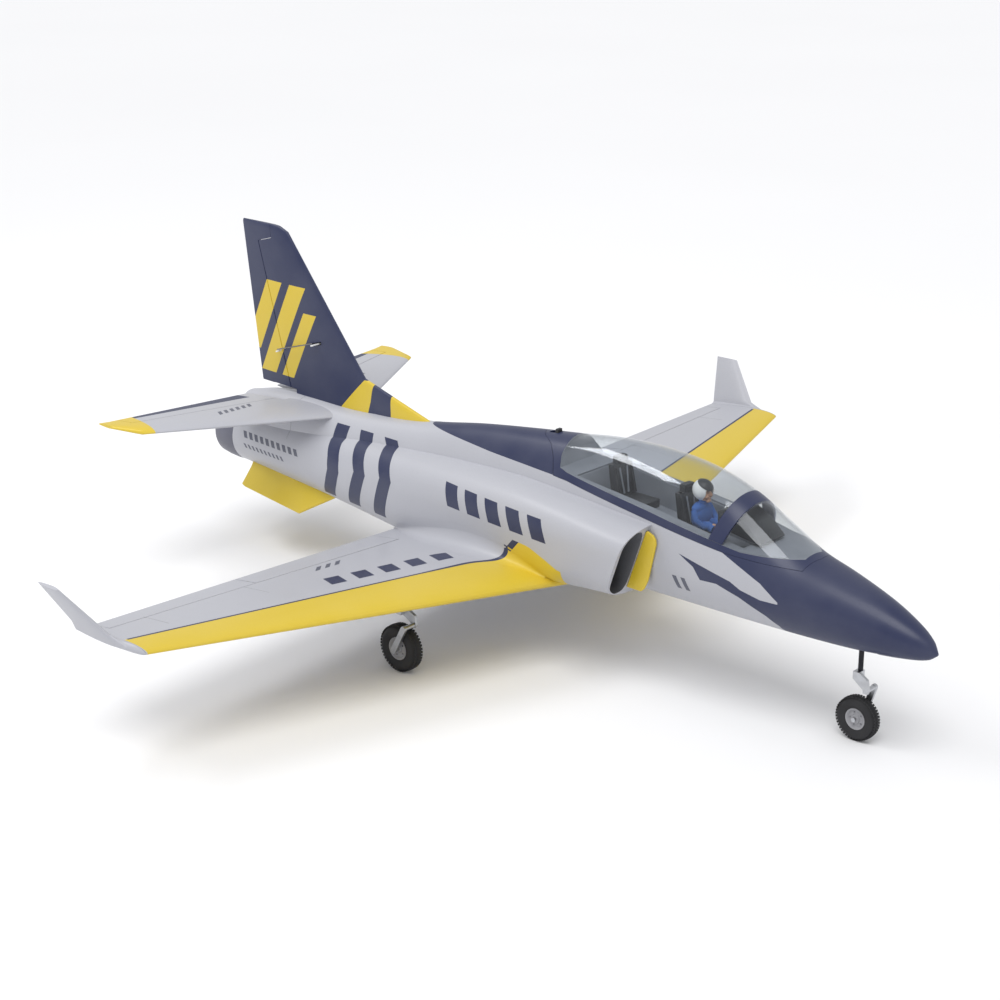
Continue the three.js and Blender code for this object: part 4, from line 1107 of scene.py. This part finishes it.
def make_wings():
    spans = [44, 60, 80, 110, 150, 200, 250, 300, 350, 400, 450, 490, 516]
    for name, side in SIDES.items():
        def whole(title):
            form = mirrored(loft([panel_ring(WING, x, WING_INCIDENCE) for x in spans]), side)
            return raw(title, form, [WING_PAINT, BARE])

        def aft(x0, x1, lean, shift):
            return mirrored(aft_of(WING, WING_HINGE, x0, x1, WING_INCIDENCE, lean, shift), side)

        wing = carve(whole(f"wing_{name}_foam"), aft(87.4, 500.6, 0, 0))
        wheel_well(wing, side)
        carve(wing, duct_form(side), index=1)
        settle(wing, "airframe", [f"wing_{name}"], 28)
        flap = carve(whole(f"flap_{name}_foam"), aft(88, 304.5, 0.95, 0.9), "INTERSECT")
        settle(flap, f"{name}_flap", [f"flap_{name}"], 28)
        aileron = carve(whole(f"aileron_{name}_foam"), aft(305.5, 500, 0.55, 0.9), "INTERSECT")
        settle(aileron, f"{name}_aileron", [f"aileron_{name}"], 28)
        make_winglet(name, side)


def wing_top(x, s):
    """Height of the wing's upper surface."""
    station, chord, z, thick = panel_at(WING, x)
    t = min(max((s - station) / chord, 0), 1)
    fall = chord * t * math.tan(math.radians(WING_INCIDENCE))
    return z + camber(t, thick) + half_depth(t, thick) - fall


def make_root_fillets():
    """Hollow curves that blend the wing's upper surface into the fuselage side."""
    for name, side in SIDES.items():
        rings = []
        for s in range(431, 696, 6):
            radius = 2.5 + 24 * math.sin(math.pi * (s - 424) / 276) ** 1.1
            z = wing_top(trunk_half(s, 105), s)
            x = trunk_half(s, z)
            z = wing_top(x, s)
            high = Vector((trunk_half(s, z + radius) + 0.05, 0, z + radius))
            corner = Vector((x, 0, z))
            out = Vector((x + radius, 0, wing_top(x + radius, s) + 0.05))
            curve = []
            for i in range(11):
                t = i / 10
                curve.append(high * (1 - t) ** 2 + corner * 2 * t * (1 - t) + out * t * t)
            buried = [(out.x - 1, out.z - 3), (x - 5, z - 3), (high.x - 5, high.z)]
            curve += [Vector((across, 0, up)) for across, up in buried]
            rings.append([spot(point.x, s, point.z) for point in curve])
        form = mirrored(loft(rings), side)
        add(f"wing_root_fairing_{name}", form, WING_PAINT, "airframe", sharp=50)


def make_winglet(name, side):
    lean = math.radians(30)
    across = (-math.cos(lean), 0, math.sin(lean))
    halfway = (-math.sin(math.radians(25)), 0, math.cos(math.radians(25)))
    rings = [
        aerofoil((516.35, 559, 120), 103, 9.5, WING_INCIDENCE),
        aerofoil((521, 582, 121), 81, 7.5, WING_INCIDENCE, halfway),
        aerofoil((524, 604, 128), 60.5, 5.5, 0.6, across),
        aerofoil((549.2, 648, 171.5), 31.5, 3.2, 0.6, across),
    ]
    form = mirrored(loft(rings), side)
    add(f"winglet_{name}_foam", form, WING_PAINT, "airframe", [f"winglet_{name}"], 24)


def make_tailplanes():
    for name, side in SIDES.items():
        def whole(title):
            rings = [panel_ring(TAIL, x, 0) for x in (8, 40, 80, 120, 160, 200, 219)]
            rings.append(aerofoil((232, 972, 190.5), 26.5, 3, 0))
            return raw(title, mirrored(loft(rings), side), [TAIL_PAINT])

        def aft(x0, x1, lean, shift):
            return mirrored(aft_of(TAIL, TAIL_HINGE, x0, x1, 0, lean, shift), side)

        plane = carve(whole(f"tailplane_{name}_foam"), aft(23.4, 208.6, 0, 0))
        carve(plane, mirrored(block((-5, 24), (905, 1010), (150, 230)), side))
        settle(plane, "airframe", [f"tailplane_{name}"], 28)
        elevator = carve(whole(f"elevator_{name}_foam"), aft(24, 208, 0.5, 0.9), "INTERSECT")
        settle(elevator, f"{name}_elevator", [f"elevator_{name}"], 28)


FIN = {"low": (188, 746, 968, 13), "high": (400, 920, 996.5, 7), "hinge": ((206, 916), (377, 967))}


def upright(z, front, rear, thick):
    """A vertical aerofoil: a level section at one height."""
    flat = aerofoil((0, 0, 0), rear - front, thick, 0)
    return [spot(p.z / MM, p.y / MM + MIDDLE + front, z) for p in flat]


def fin_ring(z):
    (z0, f0, r0, t0), (z1, f1, r1, t1) = FIN["low"], FIN["high"]
    t = (z - z0) / (z1 - z0)
    return upright(z, f0 + (f1 - f0) * t, r0 + (r1 - r0) * t, t0 + (t1 - t0) * t)


def fin_hinge(z):
    (z0, s0), (z1, s1) = FIN["hinge"]
    return s0 + (s1 - s0) * (z - z0) / (z1 - z0)


def rudder_tools(margin):
    rings = []
    for z in (202 - margin, 378):
        s = fin_hinge(z) - margin
        nose = [(-9, s), (0, s), (9, s)] if margin > 0 else [(-9, s + 3.6), (0, s), (9, s + 3.6)]
        rings.append([spot(x, station, z) for x, station in nose + [(9, 1030), (-9, 1030)]])
    front = 943 - margin
    horn = [
        (front, 384 - margin), (968, 377 - margin), (1030, 371), (1030, 430), (front + 6, 430),
    ]
    return loft(rings), side_form(horn, -9, 9)


HINGE_LEAN = math.atan2(51, 171)
LINK = {"arm": 12, "reach": 66, "z": 247}


def link_spot(x, forward, up):
    """A point of the rudder linkage, square to the hinge line."""
    s = fin_hinge(LINK["z"]) - forward * math.cos(HINGE_LEAN) + up * math.sin(HINGE_LEAN)
    return spot(x, s, LINK["z"] + forward * math.sin(HINGE_LEAN) + up * math.cos(HINGE_LEAN))


def link_plate(points, low, high, round_off=0):
    depth = link_spot(0, 0, high) - link_spot(0, 0, low)
    return plate([link_spot(x, forward, low) for x, forward in points], depth, round_off)


def make_fin():
    levels = [188, 200, 215, 235, 260, 290, 320, 350, 375, 394]
    crown = [upright(397.5, 924, 996, 6), upright(399.4, 928.5, 995.2, 4.4), upright(400, 932, 994.5, 3)]

    def whole(title):
        return raw(title, loft([fin_ring(z) for z in levels] + crown), [FIN_PAINT, DARK])

    fin = whole("tail_fin_foam")
    dorsal = loft([upright(188, 654, 820, 13.5), upright(206, 676, 820, 9.5), upright(237, 786, 830, 6)])
    carve(fin, dorsal, "UNION")
    for tool in rudder_tools(0.4):
        carve(fin, tool)
    # the servo bay and its slot are lined with dark plastic as painted shade in the slot
    bay = [(-3.3, 80), (3.3, 80), (3.3, 52), (-3.3, 52)]
    slot = [(-9, 74), (-3, 74), (-3, 58), (-9, 58)]
    carve(fin, link_plate(bay, -15, 2.2), index=1)
    carve(fin, link_plate(slot, -1.6, 2.2), index=1)
    carve(fin, side_form([(905, 150), (905, 202), (1010, 201), (1010, 150)], -12, 12))
    settle(fin, "airframe", ["tail_fin"], 28)
    rudder = whole("rudder_foam")
    blade, horn = rudder_tools(0)
    keep = raw("keep", blade)
    carve(keep, horn, "UNION")
    carve(rudder, taken(keep), "INTERSECT")
    settle(rudder, "rudder", ["rudder"], 28)
    arm_plate = [(-2, -9), (-2, -2.8), (-6.8, -2.4), (-11, 1.9), (-13.8, 1.8), (-13.8, -1.8)]
    add("rudder_horn", link_plate(arm_plate, -0.8, 0.8, 0.2), WHITE, "rudder")


def make_ventral_fins():
    lean = math.radians(30)
    outline = [(796, -10), (967, -10), (967, 0), (972, 25), (966, 27), (862, 37), (856, 33), (806, 0)]
    normal = Vector((math.cos(lean), 0, math.sin(lean)))
    for name, side in SIDES.items():
        def point(s, depth):
            return spot(27 + depth * math.sin(lean), s, 94 - depth * math.cos(lean))

        corners = [point(s, depth) - normal * 1.8 * MM for s, depth in outline]
        form = mirrored(plate(corners, normal * 3.6 * MM, 0.8), side)
        add(f"ventral_fin_{name}_foam", form, YELLOW_PAINT, "airframe",
            [f"ventral_fin_{name}"])


# ------------------------------------------------------------ duct and nozzle
def make_exhaust():
    profile = [
        (992.35, 33), (992.35, 35.6), (992.8, 36), (1002, 36.4), (1015, 35.5), (1026.8, 33.8),
        (1028, 33.2), (1028, 32.3), (1027.2, 31.9), (1002, 30.5), (999, 30.5), (999, 33), (992.35, 33),
    ]
    add("exhaust_nozzle_ring", turned(profile, DUCT_CENTRE, BACK, 96), NOZZLE_GREY, "airframe",
        ["exhaust_nozzle"])
    profile = [(643, 36.8), (998, 31.2), (998, 30), (643, 35.6), (643, 36.8)]
    add("thrust_tube_sleeve", turned(profile, DUCT_CENTRE, BACK, 64), DARK, "airframe",
        ["thrust_tube"])


# ------------------------------------------------------------ landing gear
def wheel_forms(centre, radius, width):
    """Tyre with a blocky tread, and a dished hub with five screws."""
    rim = radius * 0.47
    half = width / 2
    wall = (radius - 0.8 - rim) / 2
    profile = [(-half * 0.72, rim + 0.4)]
    for i in range(17):
        turn = -math.pi / 2 + math.pi * i / 16
        profile.append((half * math.sin(turn), radius - 0.8 - wall + wall * math.cos(turn)))
    profile += [(half * 0.72, rim + 0.4), (-half * 0.72, rim + 0.4)]
    tyre = turned(profile, centre, ACROSS, 72)
    count = 44
    for k in range(count):
        for across, lift, offset in ((-0.56, 0.62, 0), (0, 1, 0.5), (0.56, 0.62, 0)):
            angle = FULL * (k + offset) / count
            turn = Matrix.Rotation(angle, 4, "X")
            tilt = Matrix.Rotation(-across * 0.85, 4, "Y")
            rise = radius - 0.9 - (1 - lift) * wall * 0.42
            seat = Matrix.Translation(Vector((across * half, 0, rise)) * MM)
            place = Matrix.Translation(centre) @ turn @ seat
            size = Matrix.Diagonal((width * 0.2 * MM, radius * 0.09 * MM, 1.2 * MM, 1))
            bmesh.ops.create_cube(tyre, size=1, matrix=place @ tilt @ size)
    h = width * 0.4
    face = [
        (-h, 1.75), (-h, 4.4), (-h + 1, 4.9), (-h + 2.2, 5.4), (-h + 2.6, rim - 3.2),
        (-h + 1.4, rim - 1.8), (-h + 0.6, rim - 1.2), (-h + 0.4, rim),
    ]
    profile = face + [(-along, out) for along, out in reversed(face)] + face[:1]
    hub = turned(profile, centre, ACROSS, 64)
    screws = []
    for k in range(5):
        angle = FULL * k / 5
        out = Vector((0, math.cos(angle), math.sin(angle))) * (rim * 0.62)
        for way in (-1, 1):
            start = centre + (out + ACROSS * way * (h - 3.2)) * MM
            screws.append(rod(start, start + ACROSS * way * 1.5 * MM, 0.95, 6))
    return tyre, hub, grouped(*screws)


def make_wheel(prefix, ending, body, centre, radius, width):
    tyre, hub, screws = wheel_forms(centre, radius, width)
    add(f"{prefix}_tyre{ending}_tread", tyre, RUBBER, body, [f"{prefix}_tyre{ending}"], 40)
    add(f"{prefix}_wheel_disc{ending}", hub, HUB_GREY, body, [f"{prefix}_wheel_hub{ending}"])
    add(f"{prefix}_wheel_screws{ending}", screws, STEEL, body)


def make_gear():
    make_wheel("nose", "", "nose_wheel", spot(0, 85, 24), 24, 14)
    for name, side in SIDES.items():
        make_wheel("main", f"_{name}", f"{name}_wheel", spot(side * 190, 541, 27), 27, 17)
        copied(f"main_strut_{name}", ALLOY, f"{name}_leg", "alloy", 0.5)
        copied(f"main_trailing_arm_{name}", ALLOY, f"{name}_arm", "alloy", 0.5)
        copied(f"main_retract_{name}", DARK, "airframe", "dark_plastic", 0.8)
    copied("nose_strut", ALLOY, "nose_leg", "alloy", 0.4)
    add("nose_pin_sleeve", rod(spot(0, 85, 105), spot(0, 85, 67), 2.6, 24), BLACK_PIN, "nose_leg")
    copied("nose_trailing_arm", ALLOY, "nose_arm", "alloy", 0.5)
    copied("nose_retract", DARK, "airframe", "dark_plastic", 0.8)
    copied("nose_trunnion", ALLOY, "nose_carrier", "alloy", 0.6)


def paint_nodes():
    """Finishes for the frame's own pieces that stay in view."""
    looks = {
        "wing_spar": CARBON, "fan_motor": ALLOY, "fan_housing": DARK, "fan_rotor": DARK,
    }
    for node, finish in looks.items():
        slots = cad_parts[node].data.materials
        slots.clear()
        slots.append(finish)


make_studio()
make_fuselage()
make_splitters()
make_hatch()
make_cockpit()
make_pilot()
make_equipment()
make_wings()
make_root_fillets()
make_tailplanes()
make_fin()
make_ventral_fins()
make_exhaust()
make_gear()
paint_nodes()
